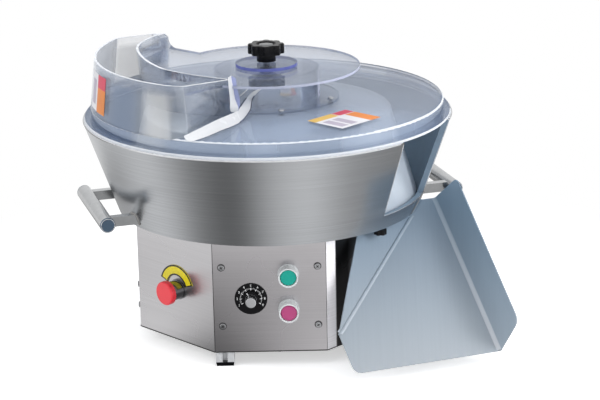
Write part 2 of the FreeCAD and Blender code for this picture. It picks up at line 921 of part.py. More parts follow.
def hopper_foot_strip():
    """The cove at the foot of the hopper's front wall."""
    front_out, back_out, back_in, front_in = hopper_corners(1.0)
    along = (front_in - front_out).normalize()
    away = V(along.y, -along.x, 0)
    start = front_out + along * hopper_corner + V(0, 0, lid_top_z) - away * hopper_foot / 3
    run = (front_in - front_out).Length - hopper_corner - hopper_inner_corner
    return cove_face(start, away, hopper_foot * 4 / 3).extrude(along * run)


def lid_cover():
    inner = lid_radius - clear_sheet
    cover = revolved([(0, lid_top_z - clear_sheet), (0, lid_top_z), (lid_radius, lid_top_z),
                      (lid_radius, lid_seat_z + clear_sheet), (lid_flange_radius, lid_seat_z + clear_sheet),
                      (lid_flange_radius, lid_seat_z), (inner, lid_seat_z),
                      (inner, lid_top_z - clear_sheet)])
    edge = [e for e in cover.Edges if len(e.Vertexes) == 1 and abs(e.BoundBox.ZMin - lid_top_z) < 0.01
            and abs(e.BoundBox.XMax - lid_radius) < 0.01]
    cover = cover.makeFillet(min(lid_edge_radius, clear_sheet * 0.9), edge)
    cover = cover.cut(hopper_solid())
    for screw in lid_screws():
        cover = cover.cut(screw)
    return cover


def lid_screws():
    screws = []
    top = lid_top_z + riser_flange_thickness
    for i in range(lid_screw_count):
        centre = polar(lid_screw_circle, lid_screw_start + 360.0 * i / lid_screw_count)
        spot = (centre.x, centre.y)
        shank = disc(screw_radius, lid_top_z - clear_sheet, top, spot)
        head = disc(screw_head_radius, top, top + screw_head_height, spot)
        head = head.makeFillet(screw_head_height * 0.7, [widest_edge(head, V(0, 0, 1))])
        nut = disc(screw_head_radius, lid_top_z - clear_sheet - screw_head_height, lid_top_z - clear_sheet, spot)
        screws.append(fuse([head, shank, nut]))
    return screws


def lid_riser():
    body = revolved([(riser_radius - clear_sheet, lid_top_z), (riser_flange_radius, lid_top_z),
                     (riser_flange_radius, lid_top_z + riser_flange_thickness),
                     (riser_radius, lid_top_z + riser_flange_thickness),
                     (riser_radius, platform_z - clear_sheet),
                     (riser_radius - clear_sheet, platform_z - clear_sheet)])
    for screw in lid_screws():
        body = body.cut(screw)
    return body


def lid_platform():
    bottom = platform_z - clear_sheet
    centre = (hopper_scoop_x, hopper_scoop_y)
    round_part = disc(platform_radius, bottom, platform_z)
    scoop = disc(hopper_scoop_radius, bottom, platform_z, centre)
    sector = wedge(platform_back_angle, platform_front_angle, bottom, platform_z + hopper_rise)
    plate = fuse([round_part, scoop.common(sector)])
    corner = V(hopper_scoop_x + hopper_scoop_radius, hopper_scoop_y, platform_z)
    cove = cove_face(corner, V(-1, 0, 0), platform_cove)
    cove = cove.revolve(V(hopper_scoop_x, hopper_scoop_y, 0), V(0, 0, 1), 360)
    plate = fuse([plate, cove.common(sector).cut(hopper_top_cut())])
    plate = plate.cut(hopper_solid())
    return plate.cut(disc(knob_stud_radius + thread_play, bottom, platform_z))


def platform_washer():
    top = platform_z + washer_thickness
    washer = revolved([(knob_stud_radius + thread_play, platform_z), (washer_radius, platform_z),
                       (washer_radius, top), (washer_boss_radius, top),
                       (washer_boss_radius, top + washer_boss_height),
                       (knob_stud_radius + thread_play, top + washer_boss_height)])
    return washer


knob_bottom_z = platform_z + washer_thickness + washer_boss_height + rest_gap


def lobed_head(radius, lobe_radius, count, z_from, z_to):
    """A hand knob's head: a drum with round lobes standing out of its rim."""
    pieces = [disc(radius - lobe_radius * 0.6, z_from, z_to)]
    for i in range(count):
        centre = polar(radius - lobe_radius, 360.0 * i / count)
        pieces.append(disc(lobe_radius, z_from, z_to, (centre.x, centre.y)))
    return fuse(pieces)


def lid_knob():
    head_bottom = knob_bottom_z + knob_neck_height
    top = head_bottom + knob_head_height
    neck = disc(knob_neck_radius, knob_bottom_z, head_bottom)
    head = lobed_head(knob_head_radius, knob_lobe_radius, knob_lobe_count, head_bottom, top)
    upper = [edge for edge in head.Edges if edge.BoundBox.ZMin > top - 0.01]
    head = head.makeChamfer(1.6, upper)
    dish = Part.makeCone(knob_dish_radius - knob_dish_depth, knob_dish_radius, knob_dish_depth,
                         V(0, 0, top - knob_dish_depth))
    return fuse([head, neck]).cut(dish).cut(disc(knob_stud_radius, knob_bottom_z, head_bottom))


def knob_stud():
    nut_bottom = platform_z - clear_sheet - stud_nut_height
    return disc(knob_stud_radius, nut_bottom, knob_bottom_z + knob_neck_height)


def stud_nut():
    across = stud_nut_width / math.sqrt(3)
    top = platform_z - clear_sheet
    corners = [polar(across, 60 * i) for i in range(6)]
    body = prism([(c.x, c.y) for c in corners], top - stud_nut_height, top)
    return body.cut(disc(knob_stud_radius + thread_play, top - stud_nut_height, top))


# Controls, each drawn along +X with x = 0 on the panel


def button_boot():
    tube = sleeve(button_radius + boot_play, boot_radius, 0, boot_length)
    tube = tube.makeFillet(1.2, [widest_edge(tube, V(1, 0, 0))])
    base = sleeve(button_radius + boot_play, boot_base_radius, 0, boot_base_length)
    return tube.fuse(base).removeSplitter()


def push_button():
    cap = rod(button_radius, button_length - button_cap_depth, button_length)
    cap = cap.makeFillet(2.0, [widest_edge(cap, V(1, 0, 0))])
    stem = rod(button_stem_radius, -contact_collar_length + button_travel, button_length - button_cap_depth)
    return cap.fuse(stem).removeSplitter()


def contact():
    deep, wide, tall = contact_block
    back = -casing_sheet - contact_collar_length
    body = block(back - deep, back, -wide / 2, wide / 2, -tall / 2, tall / 2)
    body = body.makeFillet(1.5, [e for e in body.Edges if abs(e.BoundBox.XLength - deep) < 0.01])
    collar = sleeve(control_hole_radius, contact_collar_radius, back, -casing_sheet)
    return body.fuse(collar).removeSplitter()


def dial_plate():
    return sleeve(dial_shaft_radius + thread_play, dial_radius, 0, dial_thickness)


def speed_knob():
    start = dial_thickness + thread_play
    skirt = rod(dial_knob_skirt, start, start + dial_knob_skirt_height)
    barrel = rod(dial_knob_radius, start, start + dial_knob_length)
    barrel = barrel.makeFillet(1.2, [widest_edge(barrel, V(1, 0, 0))])
    for i in range(dial_knob_flutes):
        spot = polar(dial_knob_radius + dial_flute_radius / 2, 360.0 * i / dial_knob_flutes)
        flute = Part.makeCylinder(dial_flute_radius, dial_knob_length, V(start + dial_knob_skirt_height, spot.x, spot.y),
                                  V(1, 0, 0))
        barrel = barrel.cut(flute)
    pointer = block(start + dial_knob_skirt_height, start + dial_knob_skirt_height + 1, -0.8, 0.8,
                    dial_knob_radius - 1, dial_knob_skirt)
    shaft = rod(dial_shaft_radius, -dial_shaft_length, start)
    knob = fuse([skirt, barrel, pointer, shaft])
    knob.rotate(V(0, 0, 0), V(1, 0, 0), dial_pointer_angle)
    return knob


def potentiometer():
    return sleeve(dial_shaft_radius + thread_play, pot_radius, -casing_sheet - pot_length, -casing_sheet)


def estop_collar():
    tube = sleeve(estop_collar_bore, estop_collar_radius, 0, estop_collar_length)
    base = sleeve(estop_collar_bore, estop_base_radius, 0, estop_base_length)
    return tube.fuse(base).removeSplitter()


def estop_plunger():
    return rod(estop_plunger_radius, -contact_collar_length + estop_travel,
               estop_collar_length + estop_head_length / 2)


def estop_head():
    start = estop_collar_length + thread_play
    end = start + estop_head_length
    head = rod(estop_head_radius, start, end)
    head = head.makeFillet(estop_dome, [widest_edge(head, V(1, 0, 0))])
    pocket = sleeve(estop_plunger_radius + 2, estop_collar_radius + boot_play, start, start + estop_travel + 1)
    bore = rod(estop_plunger_radius + running_fit, start, estop_collar_length + estop_head_length / 2 + rest_gap)
    return head.cut(pocket).cut(bore)


def estop_plate():
    plate = sleeve(estop_plate_inner, estop_plate_outer, 0, dial_thickness)
    angle_from = math.radians(estop_plate_to)
    angle_to = math.radians(estop_plate_from)
    # The sector kept lies above the collar, seen from outside with +Y to the viewer's left
    corners = [(0.0, 0.0)]
    for angle in (angle_from, math.pi / 2, angle_to):
        corners.append((far * math.cos(angle), far * math.sin(angle)))
    outline = Part.makePolygon([V(-1, y, z) for y, z in corners + corners[:1]])
    return plate.common(Part.Face(outline).extrude(V(3, 0, 0)))


def cable_gland():
    across = gland_hex / math.sqrt(3)
    points = [(across * math.cos(math.radians(60 * i)), across * math.sin(math.radians(60 * i)))
              for i in range(6)]
    outline = Part.makePolygon([V(0, y, z) for y, z in points + points[:1]])
    body = Part.Face(outline).extrude(V(gland_length * 0.4, 0, 0))
    dome = rod(gland_hex / 2 - 1, 0, gland_length)
    dome = dome.makeFillet(3.0, [widest_edge(dome, V(1, 0, 0))])
    thread = rod(gland_thread_radius, -gland_length, 0)
    return fuse([body, dome, thread]).cut(rod(gland_bore_radius, -gland_length, gland_length))


# Chute: a folded sheet hung under the bowl's edge at the exit


def chute_directions():
    heading = polar(1, chute_heading)
    slope = math.radians(chute_slope)
    across = V(-heading.y, heading.x, 0)
    up = V(-heading.x * math.cos(slope), -heading.y * math.cos(slope), math.sin(slope))
    normal = across.cross(up).normalize()
    return across, up, normal


def panel(corners, outward, thickness):
    outline = Part.makePolygon(corners + corners[:1])
    return Part.Face(outline).extrude(outward * thickness)


def rounded(before, corner, after, size):
    """Points that replace one corner of an outline by a curve of the given size."""
    start = corner + (before - corner).normalize() * size
    end = corner + (after - corner).normalize() * size
    points = []
    for step in (0.0, 0.25, 0.5, 0.75, 1.0):
        points.append(start * (1 - step) ** 2 + corner * (2 * step * (1 - step)) + end * step ** 2)
    return points


def bend(start, end, thickness):
    return Part.makeCylinder(thickness, (end - start).Length, start, end - start)


def chute():
    across, up, normal = chute_directions()
    anchor = polar(bowl_base_radius + chute_anchor_gap, chute_anchor_angle, base_z)
    length = (base_z - chute_lift) / math.sin(math.radians(chute_slope))
    corner = anchor - up * length - across * chute_left_reach

    def on_floor(u, v):
        return corner + across * u + up * v

    top = length + chute_rise_past_anchor
    lean = (chute_left_reach + chute_left_lean) / (length - chute_left_edge)
    left_low = on_floor(-chute_left_lean, chute_left_edge)
    left_top = on_floor(chute_left_reach + lean * chute_rise_past_anchor, top)
    right_top = left_top + across * chute_top_width
    right_low = on_floor(chute_width, 0)
    rounding = [on_floor(chute_corner * (1 - math.sin(a)), chute_corner * (1 - math.cos(a)))
                for a in [math.radians(x) for x in (90, 60, 30, 0)]]
    down = V(0, 0, 0) - normal
    pieces = [panel([left_low] + rounding + [right_low, right_top, left_top], down, chute_sheet)]
    pieces.append(bend(left_low, left_top, chute_sheet))
    pieces.append(bend(right_low, right_top, chute_sheet))

    fold = (right_top - right_low).normalize()
    side = fold.cross(normal).normalize()
    if side.dot(across) < 0:
        side = V(0, 0, 0) - side
    tilt = math.radians(chute_wall_splay)
    rise = normal * math.cos(tilt) + side * math.sin(tilt)
    out = side * math.cos(tilt) - normal * math.sin(tilt)
    low_cut = right_low + rise * chute_wall_height + fold * chute_wall_cut
    high_cut = right_top + rise * chute_wall_height
    wall = [right_low] + rounded(right_low, low_cut, high_cut, chute_corner)
    wall += rounded(low_cut, high_cut, right_top, chute_top_corner) + [right_top]
    pieces.append(panel(wall, out, chute_sheet))

    flange_top = base_z - chute_flange_gap
    wing_reach = (casing_apothem + chute_casing_gap) / math.cos(math.radians(chute_wing_angle + 45))
    wing_corner = polar(wing_reach, chute_wing_angle, flange_top - chute_sheet)
    fold_left = (left_top - left_low).normalize()
    reach_up = (flange_top - chute_sheet - left_low.z) / fold_left.z
    wing_back = left_low + fold_left * reach_up
    inward = (wing_corner - left_low).cross(fold_left).normalize()
    if inward.dot(across) < 0:
        inward = V(0, 0, 0) - inward
    pieces.append(panel([left_low, wing_back, wing_corner], V(0, 0, 0) - inward, chute_sheet))
    sector = wedge(chute_wing_angle, thumb_angles[1] + thumb_tab_turn, flange_top - chute_sheet, flange_top)
    flange = disc(bowl_base_radius - chute_flange_margin, flange_top - chute_sheet, flange_top)
    casing = octagon(casing_apothem + chute_sheet, 0, flange_top - chute_sheet, flange_top)
    pieces.append(flange.common(sector).cut(casing))
    pieces.append(bend(wing_corner, wing_back, chute_sheet))
    whole = fuse(pieces)
    bowl = revolved([(0, flange_top), (bowl_base_radius + chute_anchor_gap, flange_top),
                     (skin_radius(base_z) + chute_anchor_gap, base_z),
                     (rim_radius + chute_anchor_gap, rim_z), (0, rim_z)])
    whole = whole.cut(bowl)
    for angle in thumb_angles:
        centre = polar(thumb_radius, angle)
        whole = whole.cut(disc(thumb_stud_radius + thread_play, flange_top - 2 * chute_sheet, flange_top,
                               (centre.x, centre.y)))
    return whole


def thumb_knob(angle):
    centre = polar(thumb_radius, angle)
    top = base_z - chute_flange_gap - chute_sheet - thread_play
    head = lobed_head(thumb_head_radius, thumb_lobe_radius, thumb_lobe_count, top - thumb_head_height, top)
    stud = disc(thumb_stud_radius, top, base_z + thumb_bite)
    knob = head.fuse(stud).removeSplitter()
    knob.translate(V(centre.x, centre.y, 0))
    return knob


def build():
    nodes = {
        "casing_front_panel": [front_panel()],
        "casing_left_wrap": [side_wrap(-1)],
        "casing_right_wrap": [side_wrap(1)],
        "casing_rear_panel": [rear_panel()],
        "base_plate": [base_plate()],
        "frame_posts": [turned_to(post_profile(), face) for face in post_faces],
        "foot_caps": [turned_to(foot_cap(), face) for face in post_faces],
        "bowl_skin": [bowl_skin()],
        "bowl_liner": [bowl_liner()],
        "bowl_floor": [bowl_floor()],
        "rim_gasket": [rim_gasket()],
        "left_handle_tube": [handle_tube(left_handle_azimuth)],
        "right_handle_tube": [handle_tube(right_handle_azimuth)],
        "handle_bars": handle_bars(left_handle_azimuth) + handle_bars(right_handle_azimuth),
        "handle_caps": handle_caps(left_handle_azimuth) + handle_caps(right_handle_azimuth),
        "bearing_housing": [bearing_housing()],
        "bearing_outer_rings": [bearing_outer(z) for z in bearing_heights()],
        "housing_bolts": housing_bolts(),
        "casing_screws": casing_screws(),
        "base_plate_screws": base_plate_screws(),
        "motor_mount": [motor_mount()],
        "gearbox": [gearbox()],
        "motor": [motor()],
        "drive_belt": [drive_belt()],
        "speed_drive": [speed_drive()],
        "dial_plate": [set_on_face(dial_plate(), -90, dial_x, dial_z)],
        "potentiometer": [set_on_face(potentiometer(), -90, dial_x, dial_z)],
        "start_boot": [set_on_face(button_boot(), -90, button_x, button_heights[0])],
        "stop_boot": [set_on_face(button_boot(), -90, button_x, button_heights[1])],
        "button_contacts": [set_on_face(contact(), -90, button_x, z) for z in button_heights],
        "estop_collar": [set_on_face(estop_collar(), -135, estop_shift, estop_z)],
        "estop_contact": [set_on_face(contact(), -135, estop_shift, estop_z)],
        "estop_arc_plate": [set_on_face(estop_plate(), -135, estop_shift + estop_plate_shift, estop_z)],
        "cable_gland": [set_on_face(cable_gland(), 90, gland_x, gland_z)],
        "chute": [chute()],
        "rotor_cone": [rotor_cone()],
        "rotor_hub": [rotor_hub()],
        "rotor_screws": rotor_screws(),
        "spindle": [spindle()],
        "bearing_inner_rings": [bearing_inner(z) for z in bearing_heights()],
        "driven_pulley": [driven_pulley()],
        "motor_pulley": [motor_pulley()],
        "motor_shaft": [motor_shaft()],
        "lid_cover": [lid_cover()],
        "hopper": [hopper()],
        "lid_platform": [lid_platform()],
        "lid_riser": [lid_riser()],
        "lid_screws": lid_screws(),
        "platform_washer": [platform_washer()],
        "stud_nut": [stud_nut()],
        "lid_knob": [lid_knob()],
        "knob_stud": [knob_stud()],
        "start_button": [set_on_face(push_button(), -90, button_x, button_heights[0])],
        "stop_button": [set_on_face(push_button(), -90, button_x, button_heights[1])],
        "estop_plunger": [set_on_face(estop_plunger(), -135, estop_shift, estop_z)],
        "estop_head": [set_on_face(estop_head(), -135, estop_shift, estop_z)],
        "speed_knob": [set_on_face(speed_knob(), -90, dial_x, dial_z)],
        "left_thumb_knob": [thumb_knob(thumb_angles[0])],
        "right_thumb_knob": [thumb_knob(thumb_angles[1])],
    }
    return nodes


nodes = build()
whole = Part.makeCompound([solid for solids in nodes.values() for solid in solids])
box = whole.BoundBox
shift = V(-(box.XMin + box.XMax) / 2, -(box.YMin + box.YMax) / 2, 0)
os.makedirs("parts", exist_ok=True)
for name, solids in nodes.items():
    moved = []
    for solid in solids:
        copy = solid.copy()
        copy.translate(shift)
        moved.extend(copy.Solids)
    shape = moved[0] if len(moved) == 1 else Part.makeCompound(moved)
    shape.exportStep(os.path.join("parts", name + ".step"))
print("rotor axis at x %.4f y %.4f, overall %.1f x %.1f x %.1f mm, %d nodes"
      % (shift.x, shift.y, box.XLength, box.YLength, box.ZLength, len(nodes)))
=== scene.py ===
import bpy
import bmesh
import json
import math
from mathutils import Matrix, Vector


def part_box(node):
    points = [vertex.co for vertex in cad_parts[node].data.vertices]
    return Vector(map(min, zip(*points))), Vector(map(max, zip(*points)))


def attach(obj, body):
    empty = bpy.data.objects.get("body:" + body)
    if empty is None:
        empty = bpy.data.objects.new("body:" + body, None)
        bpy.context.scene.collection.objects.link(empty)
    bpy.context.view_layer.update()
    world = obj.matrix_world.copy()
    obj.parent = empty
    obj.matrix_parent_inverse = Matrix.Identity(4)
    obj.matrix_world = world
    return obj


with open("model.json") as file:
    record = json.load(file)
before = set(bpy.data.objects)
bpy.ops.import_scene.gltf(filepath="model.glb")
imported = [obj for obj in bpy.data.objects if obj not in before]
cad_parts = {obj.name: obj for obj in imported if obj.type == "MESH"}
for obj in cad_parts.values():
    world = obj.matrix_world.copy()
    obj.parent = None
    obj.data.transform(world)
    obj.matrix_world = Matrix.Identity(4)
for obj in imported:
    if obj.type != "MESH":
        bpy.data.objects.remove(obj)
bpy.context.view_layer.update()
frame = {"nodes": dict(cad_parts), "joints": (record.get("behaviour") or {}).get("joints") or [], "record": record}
nodes = frame["nodes"]
joints = {j["name"]: j for j in frame["joints"]}
AXIS = Vector(joints["rotor_spin"]["pos_m"])
RIM_Z = AXIS.z
MM = 0.001
RIGHT, OUT, UP = Vector((1, 0, 0)), Vector((0, -1, 0)), Vector((0, 0, 1))


def at(x, y, z):
    """A point given in millimetres from the rotor axis, with heights counted from the bowl's rim."""
    return Vector((AXIS.x + x * MM, AXIS.y + y * MM, RIM_Z + z * MM))


def polar(radius, degrees, z=0.0):
    angle = math.radians(degrees)
    return at(radius * math.cos(angle), radius * math.sin(angle), z)


# Measures of the machine in millimetres, where the covers below follow its surfaces

BOWL_RADIUS, BOWL_TAPER = 310.0, 53.4 / 153.9
CASING_APOTHEM, CASING_HALF_SIDE, CASING_BOTTOM = 221.5, 91.7, 25.5 - 370.6
HANDLE_AZIMUTHS = (-163.5, 16.5)
SCREW_PLACES = ((-77.5, 200.2), (-77.5, 300.2), (77.5, 200.2), (77.5, 300.2))
HOPPER_TOP, LID_TOP, RISER_RADIUS = 106.0, 25.9, 88.3
HOPPER_WALL_TOP, HOPPER_DRAFT, HOPPER_DRAFT_RUN = 14.4 + 9.6, 9.6, HOPPER_TOP - LID_TOP + 4.0


def bowl_radius(z):
    """Outer radius of the bowl at a height counted from its rim."""
    return BOWL_RADIUS + BOWL_TAPER * z


# Materials

# How clear walls fade from their painted reflection bands, in metres, and how little of a band is metal
WALL_FADE, BAND_TOP, BAND_FULL, BAND_METALLIC = 0.006, 0.104, 0.086, 0.1
# Painted light: levels of steel from facing down to facing up; painted reflection: levels of the lip from facing
# left to facing right
TOP_LIGHT_LEVELS = ((0, 0.75), (0.42, 0.62), (0.62, 0.85), (0.8, 1.35), (1, 1.55))
SIDE_REFLECTION_LEVELS = ((0, 0.1), (0.08, 0.25), (0.2, 1), (0.8, 1), (0.92, 0.25), (1, 0.1))
# Painted reflection bands by degrees from the front: what each wall mirrors, painted into its colour
HOPPER_PAINTED_DARK_REFLECTION = ((-180, 0), (-74, 0), (-64, 0.4), (-58, 0.8), (-50, 0.9), (-45, 0.9), (-42, 0), (180, 0))
HOPPER_PAINTED_HIGHLIGHT = ((-180, 0), (-70, 0), (-44, 0), (-39, 0.95), (-34, 0.9), (-30.5, 0.8), (-29, 0), (180, 0))
HOPPER_BACK_PAINTED_REFLECTION = ((-180, 0), (-132, 0), (-128, 0.95), (-115, 0.95), (-111, 0), (180, 0))
LID_RIM_PAINTED_BLUE = ((-180, 0.7), (180, 0.7))
LID_RIM_PAINTED_HIGHLIGHT = ((-180, 0), (-48, 0), (-44, 0.95), (-33, 0.95), (-30, 0), (-8, 0), (-6, 0.9), (4, 0.9), (6, 0),
                  (21, 0), (24, 0.95), (43, 0.95), (46, 0), (180, 0))
LID_PAINTED_REFLECTION_VEIL = ((-180, 0), (-50, 0), (-25, 0.5), (-12, 0.9), (50, 0.9), (70, 0), (180, 0))


class Nodes:
    """A small helper that adds nodes and links to a new material, or to one that exists."""

    def __init__(self, name, mat=None):
        self.mat = mat or bpy.data.materials.new(name)
        self.mat.use_nodes = True
        self.tree = self.mat.node_tree
        self.bsdf = self.tree.nodes["Principled BSDF"]
        self.coords = self.add("ShaderNodeTexCoord").outputs["Object"]

    def add(self, kind, **values):
        node = self.tree.nodes.new(kind)
        for key, value in values.items():
            if key in node.inputs:
                node.inputs[key].default_value = value
            else:
                setattr(node, key, value)
        return node

    def link(self, a, b):
        self.tree.links.new(a, b)

    def stretched(self, scale, rotation=(0, 0, 0)):
        mapping = self.add("ShaderNodeMapping")
        mapping.inputs["Scale"].default_value = scale
        mapping.inputs["Rotation"].default_value = rotation
        self.link(self.coords, mapping.inputs["Vector"])
        return mapping.outputs["Vector"]

    def calc(self, operation, a, b):
        """The result of a sum on two values, each a socket or a number."""
        node = self.add("ShaderNodeMath", operation=operation)
        for socket, value in zip(node.inputs, (a, b)):
            if isinstance(value, (int, float)):
                socket.default_value = value
            else:
                self.link(value, socket)
        return node.outputs["Value"]

    def vector(self, operation, socket, values):
        """A vector sum on a socket and fixed values."""
        node = self.add("ShaderNodeVectorMath", operation=operation)
        self.link(socket, node.inputs[0])
        node.inputs[1].default_value = values
        return node

    def span(self, value, low, high, to_low=0.0, to_high=1.0):
        """A value mapped from one range to another and kept inside it."""
        node = self.add("ShaderNodeMapRange")
        for key, number in (("From Min", low), ("From Max", high), ("To Min", to_low), ("To Max", to_high)):
            node.inputs[key].default_value = number
        self.link(value, node.inputs["Value"])
        return node.outputs["Result"]

    def noise(self, vector, scale, detail=3.0, roughness=0.5):
        node = self.add("ShaderNodeTexNoise")
        node.inputs["Scale"].default_value = scale
        node.inputs["Detail"].default_value = detail
        node.inputs["Roughness"].default_value = roughness
        self.link(vector, node.inputs["Vector"])
        return node.outputs["Fac"]

    def ramp(self, factor, low, high, start=0.3, end=0.7):
        node = self.add("ShaderNodeValToRGB")
        node.color_ramp.elements[0].position = start
        node.color_ramp.elements[0].color = (*low, 1)
        node.color_ramp.elements[1].position = end
        node.color_ramp.elements[1].color = (*high, 1)
        self.link(factor, node.inputs["Fac"])
        return node.outputs["Color"]

    def scaled(self, factor, low, high):
        """Noise, which keeps to its middle values, spread over a range."""
        return self.span(factor, 0.25, 0.75, low, high)

    def levels(self, factor, stops):
        """Grey levels along a value from 0 to 1: stops are (position, level)."""
        node = self.add("ShaderNodeValToRGB")
        elements = node.color_ramp.elements
        while len(elements) < len(stops):
            elements.new(0.5)
        for element, (position, level) in zip(elements, stops):
            element.position = position
            element.color = (level, level, level, 1)
        self.link(factor, node.inputs["Fac"])
        return node.outputs["Color"]

    def along(self, vector, direction, low, high):
        """How far a vector reaches along a direction, as 0 at low and 1 at high."""
        dot = self.vector("DOT_PRODUCT", vector, direction)
        return self.span(dot.outputs["Value"], low, high)

    def times(self, a, b):
        node = self.add("ShaderNodeMix", data_type="RGBA", blend_type="MULTIPLY")
        node.inputs["Factor"].default_value = 1.0
        self.link(a, node.inputs["A"])
        self.link(b, node.inputs["B"])
        return node.outputs["Result"]

    def bump(self, height, strength, distance):
        node = self.add("ShaderNodeBump")
        node.inputs["Strength"].default_value = strength
        node.inputs["Distance"].default_value = distance
        self.link(height, node.inputs["Height"])
        self.link(node.outputs["Normal"], self.bsdf.inputs["Normal"])

    def set(self, **values):
        for key, value in values.items():
            self.bsdf.inputs[key.replace("_", " ")].default_value = value


def tint(colour, factor):
    return tuple(min(1.0, c * factor) for c in colour)


def brushed(name, colour, scale=(3, 3, 900), rotation=(0, 0, 0), rough=0.34, aniso=0.6, vary=0.07,
            metallic=1.0, tone=None):
    """Sheet metal with fine streaks that run across the stretched direction, with painted light and shade where a
    tone is given.
    """
    m = Nodes(name)
    streaks = m.noise(m.stretched(scale, rotation), 1.0, 4.0, 0.6)
    broad = m.noise(m.coords, 7.0, 2.0)
    base = m.ramp(streaks, tint(colour, 1 - vary), tint(colour, 1 + vary))
    m.set(Metallic=metallic, Anisotropic=aniso)
    m.link(m.times(base, tone(m)) if tone else base, m.bsdf.inputs["Base Color"])
    m.link(m.scaled(broad, rough - 0.05, rough + 0.05), m.bsdf.inputs["Roughness"])
    m.bump(streaks, 0.06, 0.0002)
    tangent = m.add("ShaderNodeTangent", direction_type="RADIAL", axis="Z")
    m.link(tangent.outputs["Tangent"], m.bsdf.inputs["Tangent"])
    return m.mat


def moulded(name, colour, rough=0.4, grain=900.0, strength=0.08, metallic=0.0, vary=0.06, coat=0.0,
            shine=0.5):
    """Moulded plastic, rubber or paint with a fine grain and slight changes of tone."""
    m = Nodes(name)
    fine = m.noise(m.coords, grain, 2.0)
    broad = m.noise(m.coords, 22.0, 3.0)
    m.link(m.ramp(broad, tint(colour, 1 - vary), tint(colour, 1 + vary)), m.bsdf.inputs["Base Color"])
    m.link(m.scaled(fine, rough - 0.04, rough + 0.06), m.bsdf.inputs["Roughness"])
    m.bump(fine, strength, 0.0001)
    m.set(Metallic=metallic, Coat_Weight=coat, Specular_IOR_Level=shine)
    return m.mat


def clear(name, colour, facing=0.06, grazing=0.9, blend=0.35, rough=0.06, metallic=0.6):
    """Polished clear sheet: it shows what is behind it and mirrors the room where it is seen at a slant."""
    m = Nodes(name)
    smear = m.noise(m.stretched((6, 6, 30)), 1.0, 3.0)
    m.link(m.ramp(smear, tint(colour, 0.96), tint(colour, 1.02)), m.bsdf.inputs["Base Color"])
    m.link(m.scaled(m.noise(m.coords, 40.0, 3.0), rough * 0.7, rough * 1.6), m.bsdf.inputs["Roughness"])
    weight = m.add("ShaderNodeLayerWeight")
    weight.inputs["Blend"].default_value = blend
    m.link(m.span(weight.outputs["Fresnel"], 0.0, 1.0, facing, grazing), m.bsdf.inputs["Alpha"])
    m.set(Metallic=metallic)
    return m.mat


def height_shaded(name, low, high, z_low, z_high, rough=0.45, metallic=0.3):
    """Satin sheet with painted shade that changes its tone with height, with a fine grain."""
    m = Nodes(name)
    height = m.add("ShaderNodeSeparateXYZ")
    m.link(m.coords, height.inputs["Vector"])
    tone = m.ramp(m.span(height.outputs["Z"], z_low, z_high), low, high, 0.0, 1.0)
    streaks = m.noise(m.stretched((300, 6, 6), (0, 0, 0.6)), 1.0, 4.0, 0.6)
    mixed = m.add("ShaderNodeMix", data_type="RGBA", blend_type="MULTIPLY")
    mixed.inputs["Factor"].default_value = 0.10
    m.link(tone, mixed.inputs["A"])
    m.link(m.ramp(streaks, (0.6, 0.6, 0.6), (1, 1, 1)), mixed.inputs["B"])
    m.link(mixed.outputs["Result"], m.bsdf.inputs["Base Color"])
    m.link(m.scaled(m.noise(m.coords, 7.0, 2.0), rough - 0.05, rough + 0.05), m.bsdf.inputs["Roughness"])
    m.bump(streaks, 0.05, 0.0002)
    m.set(Metallic=metallic)
    return m.mat


def ring_of_light(tree, x_socket, y_socket, stops):
    """Brightness by direction round the object: stops are (degrees from the front, level)."""
    minus_y = tree.nodes.new("ShaderNodeMath")
    minus_y.operation = "MULTIPLY"
    minus_y.inputs[1].default_value = -1.0
    tree.links.new(y_socket, minus_y.inputs[0])
    azimuth = tree.nodes.new("ShaderNodeMath")
    azimuth.operation = "ARCTAN2"
    tree.links.new(x_socket, azimuth.inputs[0])
    tree.links.new(minus_y.outputs["Value"], azimuth.inputs[1])
    turned = tree.nodes.new("ShaderNodeMapRange")
    turned.inputs["From Min"].default_value = -math.pi
    turned.inputs["From Max"].default_value = math.pi
    tree.links.new(azimuth.outputs["Value"], turned.inputs["Value"])
    ramp = tree.nodes.new("ShaderNodeValToRGB")
    ramp.color_ramp.interpolation = "B_SPLINE"
    elements = ramp.color_ramp.elements
    while len(elements) < len(stops):
        elements.new(0.5)
    for element, (degrees, level) in zip(elements, stops):
        element.position = (degrees + 180) / 360
        element.color = (level, level, level, 1)
    tree.links.new(turned.outputs["Result"], ramp.inputs["Fac"])
    return ramp.outputs["Color"]


def painted_top_light(m):
    """Painted top light: steel that is lighter where it faces up."""
    normal = m.add("ShaderNodeNewGeometry").outputs["Normal"]
    return m.levels(m.along(normal, (0, 0, 1), -1.0, 1.0), TOP_LIGHT_LEVELS)


def painted_side_reflection(m):
    """Painted reflection: a polished lip that turns dark where it faces the sides of the room."""
    normal = m.add("ShaderNodeNewGeometry").outputs["Normal"]
    return m.levels(m.along(normal, (1, 0, 0), -1.0, 1.0), SIDE_REFLECTION_LEVELS)


def painted_chute_reflection(m):
    """The slanted panel by the chute: a painted highlight strip at its front fold, then a painted dark reflection
    of the chute.
    """
    slant = (math.sqrt(0.5), math.sqrt(0.5), 0)
    fold = slant[0] * (AXIS.x + AXIS.y) - CASING_HALF_SIDE * MM
    place = m.along(m.coords, slant, fold, fold + 0.1)
    m.link(m.levels(place, ((0, 0.1), (0.2, 0.1), (0.23, 1.0), (1, 1.0))), m.bsdf.inputs["Metallic"])
    return m.levels(place, ((0, 1.9), (0.2, 1.9), (0.225, 0.06), (0.5, 0.06), (0.85, 1.0)))


